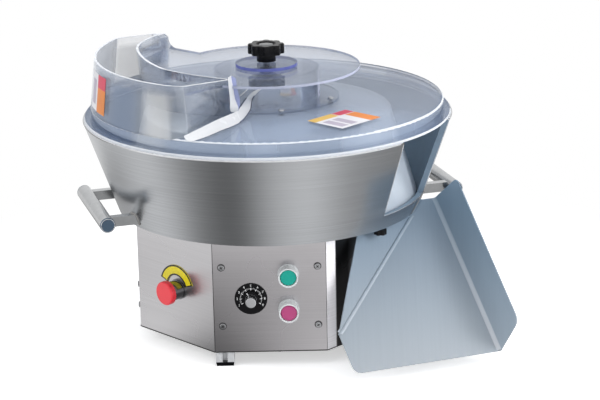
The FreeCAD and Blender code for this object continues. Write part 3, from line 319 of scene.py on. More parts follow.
def add_painted_wall_reflection(mat, stops, radius, base, strength):
    """Paints into a clear wall's colour the bands that a curved wall mirrors outside a radius, by direction round
    the rotor axis: painted reflection.
    """
    m = Nodes(mat.name, mat)
    away = m.vector("SUBTRACT", m.coords, (AXIS.x, AXIS.y, 0)).outputs["Vector"]
    split = m.add("ShaderNodeSeparateXYZ")
    m.link(away, split.inputs["Vector"])
    band = ring_of_light(m.tree, split.outputs["X"], split.outputs["Y"], stops)
    reach = m.add("ShaderNodeVectorMath", operation="LENGTH")
    m.link(m.vector("MULTIPLY", away, (1, 1, 0)).outputs["Vector"], reach.inputs[0])
    outside = m.span(reach.outputs["Value"], radius - WALL_FADE, radius)
    below_lip = m.span(split.outputs["Z"], RIM_Z + BAND_TOP, RIM_Z + BAND_FULL)
    patch = m.calc("MULTIPLY", m.calc("MULTIPLY", outside, below_lip), band)
    colour, alpha = m.bsdf.inputs["Base Color"], m.bsdf.inputs["Alpha"]
    tone = m.add("ShaderNodeMix", data_type="RGBA")
    m.link(patch, tone.inputs["Factor"])
    m.link(colour.links[0].from_socket, tone.inputs["A"])
    tone.inputs["B"].default_value = (*base, 1)
    m.link(tone.outputs["Result"], colour)
    m.link(m.calc("MAXIMUM", m.calc("MULTIPLY", patch, strength), alpha.links[0].from_socket), alpha)
    metallic = m.bsdf.inputs["Metallic"]
    m.link(m.span(patch, 0.0, 1.0, metallic.default_value, BAND_METALLIC), metallic)


mats = {
    "brushed_skin": brushed("brushed_skin", (0.545, 0.56, 0.58), rough=0.22, aniso=0.75),
    "brushed_panel": brushed("brushed_panel", (0.57, 0.552, 0.57), rough=0.28, aniso=0.6, vary=0.045),
    "light_panel": brushed("light_panel", (0.63, 0.62, 0.635), rough=0.28, aniso=0.6, vary=0.05),
    # Handle steel with painted top light, lighter where it faces up
    "handle_steel": brushed("handle_steel", (0.47, 0.48, 0.49), (60, 60, 60), rough=0.22, aniso=0.0,
                            tone=painted_top_light),
    # Chute steel with painted shade, darker and bluer towards the top
    "chute_steel": height_shaded("chute_steel", (0.40, 0.44, 0.48), (0.19, 0.265, 0.35), 0.02, 0.24, rough=0.48,
                          metallic=0.35),
    "screw_steel": brushed("screw_steel", (0.44, 0.445, 0.46), (200, 200, 200), rough=0.16, aniso=0.0),
    "dark_chrome": moulded("dark_chrome", (0.26, 0.26, 0.27), rough=0.16, metallic=1.0, strength=0.02),
    "bare_aluminium": brushed("bare_aluminium", (0.66, 0.67, 0.69), (80, 80, 400), rough=0.35, aniso=0.3),
    "profile_aluminium": brushed("profile_aluminium", (0.90, 0.91, 0.93), (500, 500, 5), rough=0.30, aniso=0.0,
                                 metallic=0.45),
    "knob_silver": brushed("knob_silver", (0.72, 0.73, 0.75), (40, 500, 40), rough=0.2, aniso=0.0),
    "rotor_coating": moulded("rotor_coating", (0.54, 0.60, 0.67), rough=0.40, grain=260.0, strength=0.10,
                             metallic=0.3),
    "black_coating": moulded("black_coating", (0.035, 0.036, 0.04), rough=0.45, strength=0.2),
    "motor_grey": moulded("motor_grey", (0.16, 0.18, 0.21), rough=0.4, strength=0.2),
    "dial_black": moulded("dial_black", (0.006, 0.006, 0.007), rough=0.30, strength=0.05, shine=0.12),
    "arc_yellow": moulded("arc_yellow", (0.74, 0.62, 0.015), rough=0.4, strength=0.03, vary=0.02),
    "liner_plastic": moulded("liner_plastic", (0.165, 0.23, 0.30), rough=0.42, grain=500.0),
    "white_seal": moulded("white_seal", (0.78, 0.80, 0.83), rough=0.5),
    "belt_rubber": moulded("belt_rubber", (0.02, 0.02, 0.021), rough=0.7, strength=0.4),
    "black_plastic": moulded("black_plastic", (0.003, 0.003, 0.004), rough=0.12, strength=0.03, shine=0.22),
    "cap_plastic": moulded("cap_plastic", (0.045, 0.085, 0.135), rough=0.4),
    "button_green": moulded("button_green", (0.0, 0.31, 0.24), rough=0.25, strength=0.02, coat=0.2, shine=0.3),
    "button_red": moulded("button_red", (0.44, 0.06, 0.19), rough=0.25, strength=0.02, coat=0.2, shine=0.3),
    "estop_red": moulded("estop_red", (0.70, 0.03, 0.045), rough=0.30, strength=0.03, coat=0.3),
    "boot_silicone": clear("boot_silicone", (0.80, 0.83, 0.84), facing=0.75, grazing=0.97, rough=0.25,
                           metallic=0.0),
    "clear_sheet": clear("clear_sheet", (0.70, 0.77, 0.90), facing=0.14, grazing=0.62, blend=0.30,
                         metallic=0.95),
}
record_slots = {s["node"]: s["material_slot"] for s in frame["record"]["subparts"]}
for node_name, node in nodes.items():
    node.data.materials.clear()
    node.data.materials.append(mats[record_slots[node_name]])

# The slanted panel beside the chute with a painted highlight strip and a painted reflection of the chute
nodes["casing_right_wrap"].data.materials[0] = brushed("side_panel_painted_reflection", (0.51, 0.497, 0.51), rough=0.26,
                                                      tone=painted_chute_reflection)
# Painted reflection bands on the hopper's walls and on the lid's rim and top
hopper_sheet = clear("hopper_sheet", (0.72, 0.775, 0.87), facing=0.14, grazing=0.62, blend=0.30, metallic=0.95)
add_painted_wall_reflection(hopper_sheet, HOPPER_PAINTED_DARK_REFLECTION, 0.280, (0.24, 0.32, 0.47), 0.55)
add_painted_wall_reflection(hopper_sheet, HOPPER_PAINTED_HIGHLIGHT, 0.280, (0.80, 0.81, 0.82), 0.62)
add_painted_wall_reflection(hopper_sheet, HOPPER_BACK_PAINTED_REFLECTION, 0.244, (0.42, 0.45, 0.49), 0.38)
nodes["hopper"].data.materials[0] = hopper_sheet
lid_sheet = clear("lid_sheet", (0.70, 0.77, 0.90), facing=0.14, grazing=0.62, blend=0.30, metallic=0.95)
add_painted_wall_reflection(lid_sheet, LID_RIM_PAINTED_BLUE, 0.293, (0.30, 0.41, 0.62), 0.55)
add_painted_wall_reflection(lid_sheet, LID_RIM_PAINTED_HIGHLIGHT, 0.291, (0.64, 0.68, 0.74), 0.62)
add_painted_wall_reflection(lid_sheet, LID_PAINTED_REFLECTION_VEIL, 0.1, (0.44, 0.53, 0.68), 0.15)
nodes["lid_cover"].data.materials[0] = lid_sheet
nodes["lid_screws"].data.materials[0] = mats["knob_silver"]

print_white = moulded("print_white", (0.85, 0.85, 0.85), rough=0.4, strength=0.02)
# Black for print, also used as painted shade in and round the panel screws
black_print_and_shade = moulded("black_print_and_shade", (0.02, 0.02, 0.02), rough=0.4, strength=0.02)
# Painted highlights, painted blue reflection and painted crease shade for the edges and folds of the clear parts
painted_highlight_clear = clear("painted_highlight_clear", (0.80, 0.83, 0.88), facing=0.78, grazing=1.0, rough=0.22, metallic=0.0)
painted_fold_highlight = clear("painted_fold_highlight", (0.80, 0.81, 0.83), facing=0.78, grazing=0.95, rough=0.2, metallic=0.0)
painted_soft_highlight = clear("painted_soft_highlight", (0.66, 0.70, 0.86), facing=0.45, grazing=0.8, rough=0.22, metallic=0.0)
painted_blue_reflection = clear("painted_blue_reflection", (0.42, 0.47, 0.78), facing=0.5, grazing=0.8, rough=0.22, metallic=0.0)
painted_crease_shade = clear("painted_crease_shade", (0.10, 0.12, 0.20), facing=0.7, grazing=0.85, rough=0.22, metallic=0.0)
edge_blue = clear("edge_blue", (0.16, 0.19, 0.55), facing=0.75, grazing=0.9, rough=0.22, metallic=0.0)
label_white = moulded("label_white", (0.66, 0.655, 0.68), rough=0.45, strength=0.02)
label_orange = moulded("label_orange", (0.64, 0.20, 0.035), rough=0.45, strength=0.02)
label_red = moulded("label_red", (0.55, 0.045, 0.09), rough=0.45, strength=0.02)
label_grey = moulded("label_grey", (0.40, 0.36, 0.44), rough=0.45, strength=0.02)
label_yellow = moulded("label_yellow", (0.66, 0.42, 0.10), rough=0.45, strength=0.02)
# Lip steel with painted reflection, dark where it faces the sides
lip_painted_reflection = brushed("lip_painted_reflection", (0.80, 0.81, 0.83), (150, 150, 150), rough=0.25, aniso=0.0, metallic=0.8,
                    tone=painted_side_reflection)
edge_steel = brushed("edge_steel", (0.80, 0.81, 0.83), (150, 150, 150), rough=0.25, aniso=0.0, metallic=0.8)
# A lighter copy of the chute's steel for its right wall: painted light
chute_wall_painted_light = height_shaded("chute_wall_painted_light", (0.38, 0.44, 0.50), (0.22, 0.31, 0.40), 0.02, 0.24)
# A lighter copy of the chute's steel along its folds: painted highlights
chute_fold_painted_highlight = height_shaded("chute_fold_painted_highlight", (0.55, 0.58, 0.62), (0.27, 0.35, 0.43), 0.02, 0.24)
cap_grey = moulded("cap_grey", (0.10, 0.105, 0.11), rough=0.18, strength=0.02, coat=0.4)
weld_steel = brushed("weld_steel", (0.50, 0.49, 0.48), (700, 700, 700), rough=0.4, aniso=0.0)


# Shapes


def add_mesh(name, bm, mat, body, smooth=True):
    bmesh.ops.recalc_face_normals(bm, faces=bm.faces)
    mesh = bpy.data.meshes.new(name)
    bm.to_mesh(mesh)
    bm.free()
    for face in mesh.polygons:
        face.use_smooth = smooth
    obj = bpy.data.objects.new(name, mesh)
    bpy.context.scene.collection.objects.link(obj)
    mesh.materials.append(mat)
    if body:
        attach(obj, body)
    return obj


def sweep(bm, points, radius, closed=False, sides=8):
    """A round bead along a line of points."""
    count = len(points)
    rings = []
    for i, point in enumerate(points):
        before = points[i - 1] if i or closed else points[i]
        after = points[(i + 1) % count] if i < count - 1 or closed else points[i]
        along = (after - before).normalized()
        side = along.cross(Vector((0, 0, 1)))
        if side.length < 1e-4:
            side = along.cross(Vector((0, 1, 0)))
        side.normalize()
        top = side.cross(along).normalized()
        ring = []
        for k in range(sides):
            a = 2 * math.pi * k / sides
            ring.append(bm.verts.new(point + side * radius * math.cos(a) + top * radius * math.sin(a)))
        rings.append(ring)
    spans = count if closed else count - 1
    for i in range(spans):
        first, second = rings[i], rings[(i + 1) % count]
        for k in range(sides):
            bm.faces.new((first[k], first[(k + 1) % sides], second[(k + 1) % sides], second[k]))
    if not closed:
        bm.faces.new(list(reversed(rings[0])))
        bm.faces.new(rings[-1])


def plate(bm, outline, centre, u, v, n, thickness):
    """A thin plate whose outline is given in (u, v) millimetres round a centre."""
    low = [bm.verts.new(centre + u * (a * MM) + v * (b * MM)) for a, b in outline]
    high = [bm.verts.new(centre + u * (a * MM) + v * (b * MM) + n * (thickness * MM)) for a, b in outline]
    bm.faces.new(list(reversed(low)))
    bm.faces.new(high)
    count = len(outline)
    for i in range(count):
        k = (i + 1) % count
        bm.faces.new((low[i], low[k], high[k], high[i]))


def flat_normals(obj):
    """Lets the wide faces of a thin cover decide how it is shaded."""
    weighted = obj.modifiers.new("normals", "WEIGHTED_NORMAL")
    weighted.mode = "FACE_AREA"
    weighted.weight = 90


def skin_of(name, node, keep, mat, body, lift=0.3):
    """A thin cover a little outside those faces of a CAD node that a test keeps."""
    source = nodes[node].data
    kept = [face for face in source.polygons if keep(face.center, face.normal)]
    leans = {}
    for face in kept:
        for index in face.vertices:
            co = source.vertices[index].co
            key = (round(co.x, 6), round(co.y, 6), round(co.z, 6))
            leans[key] = leans.get(key, Vector((0, 0, 0))) + face.normal * face.area
    bm = bmesh.new()
    made = {key: bm.verts.new(Vector(key) + lean.normalized() * (lift * MM)) for key, lean in leans.items()}
    for face in kept:
        keys = []
        for index in face.vertices:
            co = source.vertices[index].co
            keys.append((round(co.x, 6), round(co.y, 6), round(co.z, 6)))
        corners = [made[key] for key in keys]
        if len(set(keys)) == len(keys) and not bm.faces.get(corners):
            bm.faces.new(corners)
    obj = add_mesh(name, bm, mat, body)
    thick = obj.modifiers.new("thickness", "SOLIDIFY")
    thick.thickness = lift * MM
    thick.offset = 0.0
    flat_normals(obj)
    return obj


def strip(name, edges, mat, body, lift=0.4):
    """A thin band whose cross lines are given as pairs of points."""
    bm = bmesh.new()
    rows = [[bm.verts.new(point) for point in row] for row in edges]
    for one, two in zip(rows, rows[1:]):
        for i in range(len(one) - 1):
            bm.faces.new((one[i], one[i + 1], two[i + 1], two[i]))
    obj = add_mesh(name, bm, mat, body)
    thick = obj.modifiers.new("thickness", "SOLIDIFY")
    thick.thickness = lift * MM
    thick.offset = 0.0
    flat_normals(obj)
    return obj


def radius_of(point):
    return math.hypot(point.x - AXIS.x, point.y - AXIS.y) / MM


def height_of(point):
    return (point.z - RIM_Z) / MM


# Painted highlights along the edges of the clear parts, and the washer's blue edge

skin_of("hopper_lip", "hopper", lambda c, n: n.z > 0.9 and height_of(c) > 82, painted_highlight_clear, "lid")
skin_of("lid_rounded_edge", "lid_cover",
        lambda c, n: 0.25 < n.z < 0.93 and height_of(c) > 20 and radius_of(c) > 285,
        painted_highlight_clear, "lid", 0.25)
skin_of("lid_flange_edge", "lid_cover",
        lambda c, n: abs(n.z) < 0.3 and height_of(c) < 6 and radius_of(c) > 300,
        painted_highlight_clear, "lid", 0.3)
skin_of("platform_edge", "lid_platform",
        lambda c, n: abs(n.z) < 0.3 and 76 < height_of(c) < 82 and radius_of(c) > 154,
        painted_soft_highlight, "lid", 0.25)
skin_of("washer_edge", "platform_washer",
        lambda c, n: abs(n.z) < 0.3 and radius_of(c) > 50, edge_blue, "lid", 0.25)

# Polished lip of the bowl, open at the exit, its steel darkened at the sides as painted reflection

EXIT_FROM, EXIT_TO = -45.3, -12.5
lip = bmesh.new()
lip_points = [polar(308.6, EXIT_TO + (360 + EXIT_FROM - EXIT_TO) * i / 180, -0.2) for i in range(181)]
sweep(lip, lip_points, 1.5 * MM, sides=10)
add_mesh("bowl_polished_lip", lip, lip_painted_reflection, "stand")



def through(points, steps=6):
    """A smooth line through a list of points in millimetres."""
    ends = [points[0]] + list(points) + [points[-1]]
    line = []
    for i in range(1, len(ends) - 2):
        p0, p1, p2, p3 = (Vector(ends[i + k]) for k in (-1, 0, 1, 2))
        for k in range(steps):
            t = k / steps
            line.append(0.5 * (2 * p1 + (p2 - p0) * t + (2 * p0 - 5 * p1 + 4 * p2 - p3) * t ** 2
                               + (3 * p1 - p0 - 3 * p2 + p3) * t ** 3))
    line.append(Vector(points[-1]))
    return [at(*point) for point in line]


# Painted highlight column at the hopper's inner front corner, as its left and right lines from the rim down, with
# a painted blue reflection beside it
COLUMN_LEFT = ((-59.3, -155.4, 97.3), (-59.4, -155.6, 93.3), (-58.4, -153.9, 76.5), (-57.3, -152.1, 59.6),
               (-57.7, -152.7, 46.5), (-56.4, -150.5, 39.3))
COLUMN_RIGHT = ((-54.6, -146.0, 98.0), (-54.0, -145.0, 91.5), (-51.6, -143.5, 75.0), (-49.4, -143.0, 58.5),
                (-44.9, -144.0, 45.5), (-45.4, -143.0, 37.6))
COLUMN_FAR = ((-47.1, -141.0, 92.0), (-46.8, -141.0, 88.0), (-45.9, -141.0, 76.4), (-43.0, -141.0, 64.8),
              (-41.7, -141.0, 54.8), (-42.5, -141.0, 47.0))
left_line, right_line, far_line = through(COLUMN_LEFT), through(COLUMN_RIGHT), through(COLUMN_FAR)
strip("hopper_inner_corner", [[a, a.lerp(b, 0.5) + OUT * (1.2 * MM), b] for a, b in zip(left_line, right_line)],
      painted_fold_highlight, "lid", 0.3)
# Painted blue reflection beside the corner's highlight
strip("hopper_corner_painted_reflection", [[a, b] for a, b in zip(right_line, far_line)], painted_blue_reflection,
      "lid", 0.3)

# Tip of the hopper's crescent at the back, where the two walls meet

TIP_CENTRE, TIP_RADIUS = (-56.0, 46.0), 160.4
tip_wall = []
for i in range(13):
    angle = math.radians(147.0 - 10.2 * i / 12)
    top = 105.8 - 9.0 * max(0, (i - 7) / 5) ** 2
    x, y = TIP_CENTRE[0] + TIP_RADIUS * math.cos(angle), TIP_CENTRE[1] + TIP_RADIUS * math.sin(angle)
    tip_wall.append([at(x, y, 26.6 + (top - 26.6) * k / 4) for k in range(5)])
strip("hopper_tip_wall", tip_wall, hopper_sheet, "lid", 0.8)
tip_back = []
tip_top = []
for i in range(9):
    t = i / 8
    x, y = -201.0 + 23.6 * t, 148.0 + 3.8 * t + 2.6 * t * (1 - t)
    inner = math.radians(147.0 - 7.6 * t)
    tip_back.append([at(x, y, 26.6 + 79.2 * k / 4) for k in range(5)])
    tip_top.append([at(x, y, 105.7), at(TIP_CENTRE[0] + TIP_RADIUS * math.cos(inner),
                                        TIP_CENTRE[1] + TIP_RADIUS * math.sin(inner), 105.7)])
strip("hopper_tip_back", tip_back, hopper_sheet, "lid", 0.8)
# Painted highlight on the tip's top face and along its edge
strip("hopper_tip_lip", tip_top, painted_highlight_clear, "lid", 0.5)
tip_bead = bmesh.new()
sweep(tip_bead, [row[-1] for row in tip_wall], 0.9 * MM, sides=6)
add_mesh("hopper_tip_edge", tip_bead, painted_highlight_clear, "lid")

# Painted highlight along the limb of the riser under the platform

limb = []
for i in range(7):
    azimuth_deg = -16 + 14 * i / 6
    limb.append([polar(RISER_RADIUS, azimuth_deg, height) for height in (29.5, 40, 60, 76.5)])
strip("riser_limb", limb, painted_soft_highlight, "lid", 0.3)

# Painted highlight fold along the hopper's front wall, turned up to the platform's edge, with painted shade in its
# creases and a painted highlight line

FOLD_UPPER = ((-125.1, -284.9, 37.0), (-102.4, -239.8, 37.0), (-80.5, -195.7, 37.0), (-60.8, -165.7, 38.0),
              (-48.4, -146.7, 39.0), (-42.2, -133.6, 43.0), (-38.1, -130.7, 48.0), (-33.9, -131.8, 54.0),
              (-28.0, -133.8, 61.0), (-20.5, -138.7, 69.0), (-8.9, -146.7, 76.0))
FOLD_LOWER = ((-113.4, -279.8, 26.8), (-92.7, -254.7, 26.8), (-72.1, -220.1, 26.8), (-55.5, -195.5, 26.8),
              (-41.8, -169.2, 27.0), (-33.5, -142.6, 28.5), (-26.5, -123.1, 35.0), (-23.8, -120.6, 46.0),
              (-21.2, -131.6, 57.0), (-15.7, -141.6, 66.0), (-7.3, -150.2, 75.5))
upper, lower = through(FOLD_UPPER), through(FOLD_LOWER)
rows = []
for i, (high_side, low_side) in enumerate(zip(upper, lower)):
    hollow = max(0.0, 1 - i / 36) * 0.8
    middle = high_side.lerp(low_side, 0.5)
    corner = middle.lerp(Vector((high_side.x, high_side.y, low_side.z)), hollow)
    rows.append([high_side * (1 - t) ** 2 + corner * (2 * t * (1 - t)) + low_side * t ** 2
                 for t in (0, 0.2, 0.4, 0.6, 0.8, 1)])
strip("hopper_foot_band", rows, painted_fold_highlight, "lid")
# Painted shade along the creases of the fold
for name, line, thick in (("fold_turn_line", lower[24:52], 1.0), ("fold_inner_line", upper[27:46], 1.1)):
    bead = bmesh.new()
    sweep(bead, line, thick * MM, sides=6)
    add_mesh(name, bead, painted_crease_shade, "lid")
bead = bmesh.new()
sweep(bead, [at(-41.6, -137, 62.1), at(-35.8, -137, 66.9), at(-29.2, -137, 72.6)], 0.8 * MM, sides=6)
add_mesh("fold_bright_line", bead, painted_highlight_clear, "lid")

exit_edges = bmesh.new()
for azimuth_deg, lean in ((EXIT_FROM, 1), (EXIT_TO, -1)):
    edge_line = []
    for i in range(9):
        height = -1.0 - 128.0 * i / 8
        edge_line.append(polar(bowl_radius(height) - 0.6, azimuth_deg - 0.1 * lean, height))
    sweep(exit_edges, edge_line, 0.9 * MM, sides=6)
add_mesh("exit_polished_edges", exit_edges, edge_steel, "stand")
ledge = []
for i in range(25):
    azimuth_deg = EXIT_FROM + 0.3 + (EXIT_TO - EXIT_FROM - 0.6) * i / 24
    ledge.append([polar(bowl_radius(-130) - inset, azimuth_deg, -129.7) for inset in (0.8, 2.4)])
strip("exit_ledge_edge", ledge, edge_steel, "stand", 0.3)

# Dial marks, numbers and the knob's dark skirt

DIAL_LOW, DIAL_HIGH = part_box("dial_plate")
DIAL = Vector(((DIAL_LOW.x + DIAL_HIGH.x) / 2, DIAL_LOW.y, (DIAL_LOW.z + DIAL_HIGH.z) / 2))
marks = bmesh.new()
for i in range(41):
    angle = math.radians(210 - 6 * i)
    along = RIGHT * math.cos(angle) + UP * math.sin(angle)
    across = RIGHT * -math.sin(angle) + UP * math.cos(angle)
    long_mark = i % 5 == 0
    inner, outer = (14.6, 18.2) if long_mark else (16.4, 18.2)
    half = 0.5 if long_mark else 0.25
    plate(marks, [(inner, -half), (outer, -half), (outer, half), (inner, half)], DIAL, along, across, OUT, 0.12)
add_mesh("dial_marks", marks, print_white, "stand", smooth=False)


def number(name, text, centre, u, v, n, size, mat, body, slot):
    """A small raised number, drawn from strokes of the plain font."""
    curve = bpy.data.curves.new(name, "FONT")
    curve.body = text
    curve.size = size * MM
    curve.align_x = "CENTER"
    curve.align_y = "CENTER"
    curve.extrude = 0.06 * MM
    source = bpy.data.objects.new(name + "_curve", curve)
    bpy.context.scene.collection.objects.link(source)
    bpy.context.view_layer.update()
    mesh = source.to_mesh()
    bm = bmesh.new()
    bm.from_mesh(mesh)
    source.to_mesh_clear()
    bpy.data.objects.remove(source)
    bpy.data.curves.remove(curve)
    for vert in bm.verts:
        vert.co = centre + u * vert.co.x + v * vert.co.y + n * (vert.co.z + 0.06 * MM)
    return add_mesh(name, bm, mat, body, smooth=False)


for i in range(9):
    angle = math.radians(210 - 30 * i)
    spot = DIAL + (RIGHT * math.cos(angle) + UP * math.sin(angle)) * (22.2 * MM)
    number("dial_number_" + str(i + 1), str(i + 1), spot, RIGHT, UP, OUT, 5.6, print_white,
           "stand", "dial_black")

skirt = bmesh.new()
spin = [(math.cos(math.radians(7.5 * i)), math.sin(math.radians(7.5 * i))) for i in range(48)]
profile = [(13.25, -1.4), (13.25, -4.9), (12.6, -5.3), (9.0, -5.3)]
loops = [[skirt.verts.new(DIAL + RIGHT * (r * c * MM) + UP * (r * q * MM) + OUT * (-d * MM)) for c, q in spin]
         for r, d in profile]
for one, two in zip(loops, loops[1:]):
    for i in range(48):
        k = (i + 1) % 48
        skirt.faces.new((one[i], one[k], two[k], two[i]))
add_mesh("dial_skirt_cover", skirt, mats["dial_black"], "speed_knob")
pointer = bmesh.new()
turn = math.radians(120)
plate(pointer, [(9.2, -0.6), (13.0, -0.6), (13.0, 0.6), (9.2, 0.6)], DIAL + OUT * (5.35 * MM),
      RIGHT * math.cos(turn) + UP * math.sin(turn), RIGHT * -math.sin(turn) + UP * math.cos(turn), OUT, 0.15)
add_mesh("dial_pointer", pointer, print_white, "speed_knob", smooth=False)

# Black border of the yellow arc

arc_n = Vector((-1, -1, 0)).normalized()
arc_v = UP
arc_u = Vector((1, -1, 0)).normalized()
arc_faces = [vert.co for vert in nodes["estop_arc_plate"].data.vertices]
arc_top = max(co.dot(arc_n) for co in arc_faces)
arc_us = [co.dot(arc_u) for co in arc_faces]
arc_high = max(co.z for co in arc_faces)
arc_mid = (min(arc_us) + max(arc_us)) / 2
ARC_OUTER, ARC_INNER, ARC_FROM, ARC_TO = 40.0, 22.5, 18.0, 162.0
arc_centre = arc_u * arc_mid + arc_n * arc_top + arc_v * (arc_high - ARC_OUTER * MM)
border = bmesh.new()


def arc_points(radius, low, high, steps=40):
    return [(radius * math.cos(math.radians(low + (high - low) * i / steps)),
             radius * math.sin(math.radians(low + (high - low) * i / steps))) for i in range(steps + 1)]


def band(bm, outer, inner, centre, u, v, n, lift=0.25):
    """A flat closed band between two outlines with the same number of points."""
    count = len(outer)
    for i in range(count - 1):
        quad = [outer[i], outer[i + 1], inner[i + 1], inner[i]]
        plate(bm, quad, centre, u, v, n, lift)


EDGE = 2.7
band(border, arc_points(ARC_OUTER - 0.1, ARC_FROM, ARC_TO), arc_points(ARC_OUTER - EDGE, ARC_FROM, ARC_TO),
     arc_centre, arc_u, arc_v, arc_n)
band(border, arc_points(ARC_INNER + EDGE, ARC_FROM, ARC_TO), arc_points(ARC_INNER + 0.1, ARC_FROM, ARC_TO),
     arc_centre, arc_u, arc_v, arc_n)
for low, high in ((ARC_FROM + 0.1, ARC_FROM + 3.2), (ARC_TO - 3.2, ARC_TO - 0.1)):
    band(border, arc_points(ARC_OUTER - 0.2, low, high, 3), arc_points(ARC_INNER + 0.2, low, high, 3),
         arc_centre, arc_u, arc_v, arc_n)
add_mesh("estop_arc_border", border, black_print_and_shade, "stand", smooth=False)

# Weld beads where the handle bars meet the bowl

bars_low, bars_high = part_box("handle_bars")
welds = bmesh.new()
bar_z = ((bars_low.z + bars_high.z) / 2 - RIM_Z) / MM
for azimuth in HANDLE_AZIMUTHS:
    out_x, out_y = math.cos(math.radians(azimuth)), math.sin(math.radians(azimuth))
    for middle in (-78.5, 78.5):
        loop = []
        for i in range(32):
            angle = 2 * math.pi * i / 32
            side = middle + 8.2 * max(-1, min(1, 1.25 * math.cos(angle)))
            high = bar_z + 9.0 * max(-1, min(1, 1.25 * math.sin(angle)))
            cone = bowl_radius(high) + 0.4
            reach = math.sqrt(cone * cone - side * side)
            loop.append(at(out_x * reach - out_y * side, out_y * reach + out_x * side, high))
        sweep(welds, loop, 1.7 * MM, closed=True)
add_mesh("handle_welds", welds, weld_steel, "stand")

# Bright tube ends round the handle caps

tube_ends = bmesh.new()
cap_points = [v.co for v in nodes["handle_caps"].data.vertices]
for azimuth in HANDLE_AZIMUTHS:
    radial = Vector((math.cos(math.radians(azimuth)), math.sin(math.radians(azimuth)), 0))
    tangent = Vector((-radial.y, radial.x, 0))
    mine = [p for p in cap_points if (p - AXIS).dot(radial) > 0]
    for way in (tangent, -tangent):
        end = max(p.dot(way) for p in mine)
        tops = [p for p in mine if p.dot(way) > end - 0.3 * MM]
        low = Vector([min(p[k] for p in tops) for k in range(3)])
        high = Vector([max(p[k] for p in tops) for k in range(3)])
        middle = (low + high) / 2
        reach = (high.z - low.z) / 2 - 0.7 * MM
        loop = [middle + radial * (reach * math.cos(math.pi * i / 16))
                + UP * (reach * math.sin(math.pi * i / 16)) for i in range(32)]
        sweep(tube_ends, loop, 0.7 * MM, closed=True, sides=6)
add_mesh("handle_tube_ends", tube_ends, edge_steel, "stand")

# Soft folds of the chute, lighter along the folds as painted highlights


def cove(name, start, end, side_a, side_b, size, mat):
    """A hollow band that eases the inner corner between two sheets along a fold."""
    rows = []
    for i in range(13):
        base = start.lerp(end, i / 12)
        row = []
        for k in range(7):
            t = k / 6
            row.append(base + side_a * (size * (1 - t) ** 2 * MM) + side_b * (size * t ** 2 * MM))
        rows.append(row)
    strip(name, rows, mat, "stand", 0.3)


chute_low_left, chute_top_left = at(109.538, -277.077, -297.909), at(252.611, -79.993, -135.515)
chute_top_right, chute_low_right = at(277.043, -71.1, -135.515), at(372.566, -227.858, -350.0)
chute_normal = Vector((0.262, -0.72, 0.643)).normalized()
fold = (chute_top_right - chute_low_right).normalized()
wall_side = fold.cross(chute_normal).normalized()
if wall_side.x < 0:
    wall_side.negate()
tilt = math.radians(12)
wall_rise = chute_normal * math.cos(tilt) + wall_side * math.sin(tilt)
cove("chute_right_fold", chute_low_right + chute_normal * 0.2 * MM + fold * 2 * MM,
     chute_top_right + chute_normal * 0.2 * MM, -wall_side, wall_rise, 6.0, chute_fold_painted_highlight)

# Generic colour labels on the lid


def label(name, centre, u, v, n, blocks, body="lid"):
    for i, (mat, outline) in enumerate(blocks):
        bm = bmesh.new()
        plate(bm, outline, centre, u, v, n, 0.15 + 0.05 * (i > 0))
        add_mesh(name + "_" + str(i), bm, mat, body, smooth=False)


def rect(x0, y0, x1, y1):
    return [(x0, y0), (x1, y0), (x1, y1), (x0, y1)]


LABEL_TURN = math.radians(46.5)
label_u = Vector((math.cos(LABEL_TURN), math.sin(LABEL_TURN), 0))
label_v = Vector((-math.sin(LABEL_TURN), math.cos(LABEL_TURN), 0))
label("lid_label", at(124.8, -158.7, 26.0), label_u, label_v, UP, [
    (label_white, rect(-46, -38, 46, 38)),
    (label_yellow, rect(-46, 20, 10, 38)),
    (label_red, rect(12, 20, 46, 38)),
    (label_orange, rect(22, -38, 46, 18)),
    (label_grey, rect(-38, -30, -22, 12)),
    (label_grey, rect(-16, -30, 0, 12)),
])

wall_out = wall_side * math.cos(tilt) - chute_normal * math.sin(tilt)
# The chute's right wall gets a lighter cover as painted light
skin_of("chute_wall_face", "chute",
        lambda c, n: n.dot(-wall_out) > 0.97 and (c - chute_low_right).dot(wall_rise) > 0,
        chute_wall_painted_light, "stand", 0.25)
# Painted highlight along the chute's left fold
left_fold = (chute_top_left - chute_low_left).normalized()
left_across = left_fold.cross(chute_normal).normalized()
rows = []
for i in range(13):
    base = (chute_low_left + left_fold * 3 * MM).lerp(chute_top_left - left_fold * 34 * MM, i / 12)
    rows.append([base + left_across * (w * MM) + chute_normal * (h * MM)
                 for w, h in ((-4.5, 0.15), (-2.0, 0.7), (0.5, 0.9), (2.5, 0.7), (4.5, 0.1))])
strip("chute_left_fold", rows, chute_fold_painted_highlight, "stand", 0.3)

# Painted shade in the cross recesses of the panel screws, and painted shadow rings round their heads

crosses = bmesh.new()
panel_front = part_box("casing_front_panel")[0].y
screw_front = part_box("casing_screws")[0].y
for x, drop in SCREW_PLACES:
    centre = Vector((AXIS.x + x * MM, screw_front, RIM_Z - drop * MM))
    for turned in (0.6, 0.6 + math.pi / 2):
        u = RIGHT * math.cos(turned) + UP * math.sin(turned)
        v = RIGHT * -math.sin(turned) + UP * math.cos(turned)
        plate(crosses, [(-2.6, -0.6), (2.6, -0.6), (2.6, 0.6), (-2.6, 0.6)], centre, u, v, OUT, 0.1)
    ring = [(math.cos(math.pi * i / 16), math.sin(math.pi * i / 16)) for i in range(33)]
    seat = Vector((centre.x, panel_front, centre.z))
    band(crosses, [(6.3 * a, 6.3 * b) for a, b in ring], [(5.3 * a, 5.3 * b) for a, b in ring],
         seat, RIGHT, UP, OUT, 0.15)
add_mesh("screw_painted_shade", crosses, black_print_and_shade, "stand", smooth=False)

# Pressed cap in the knob's dish

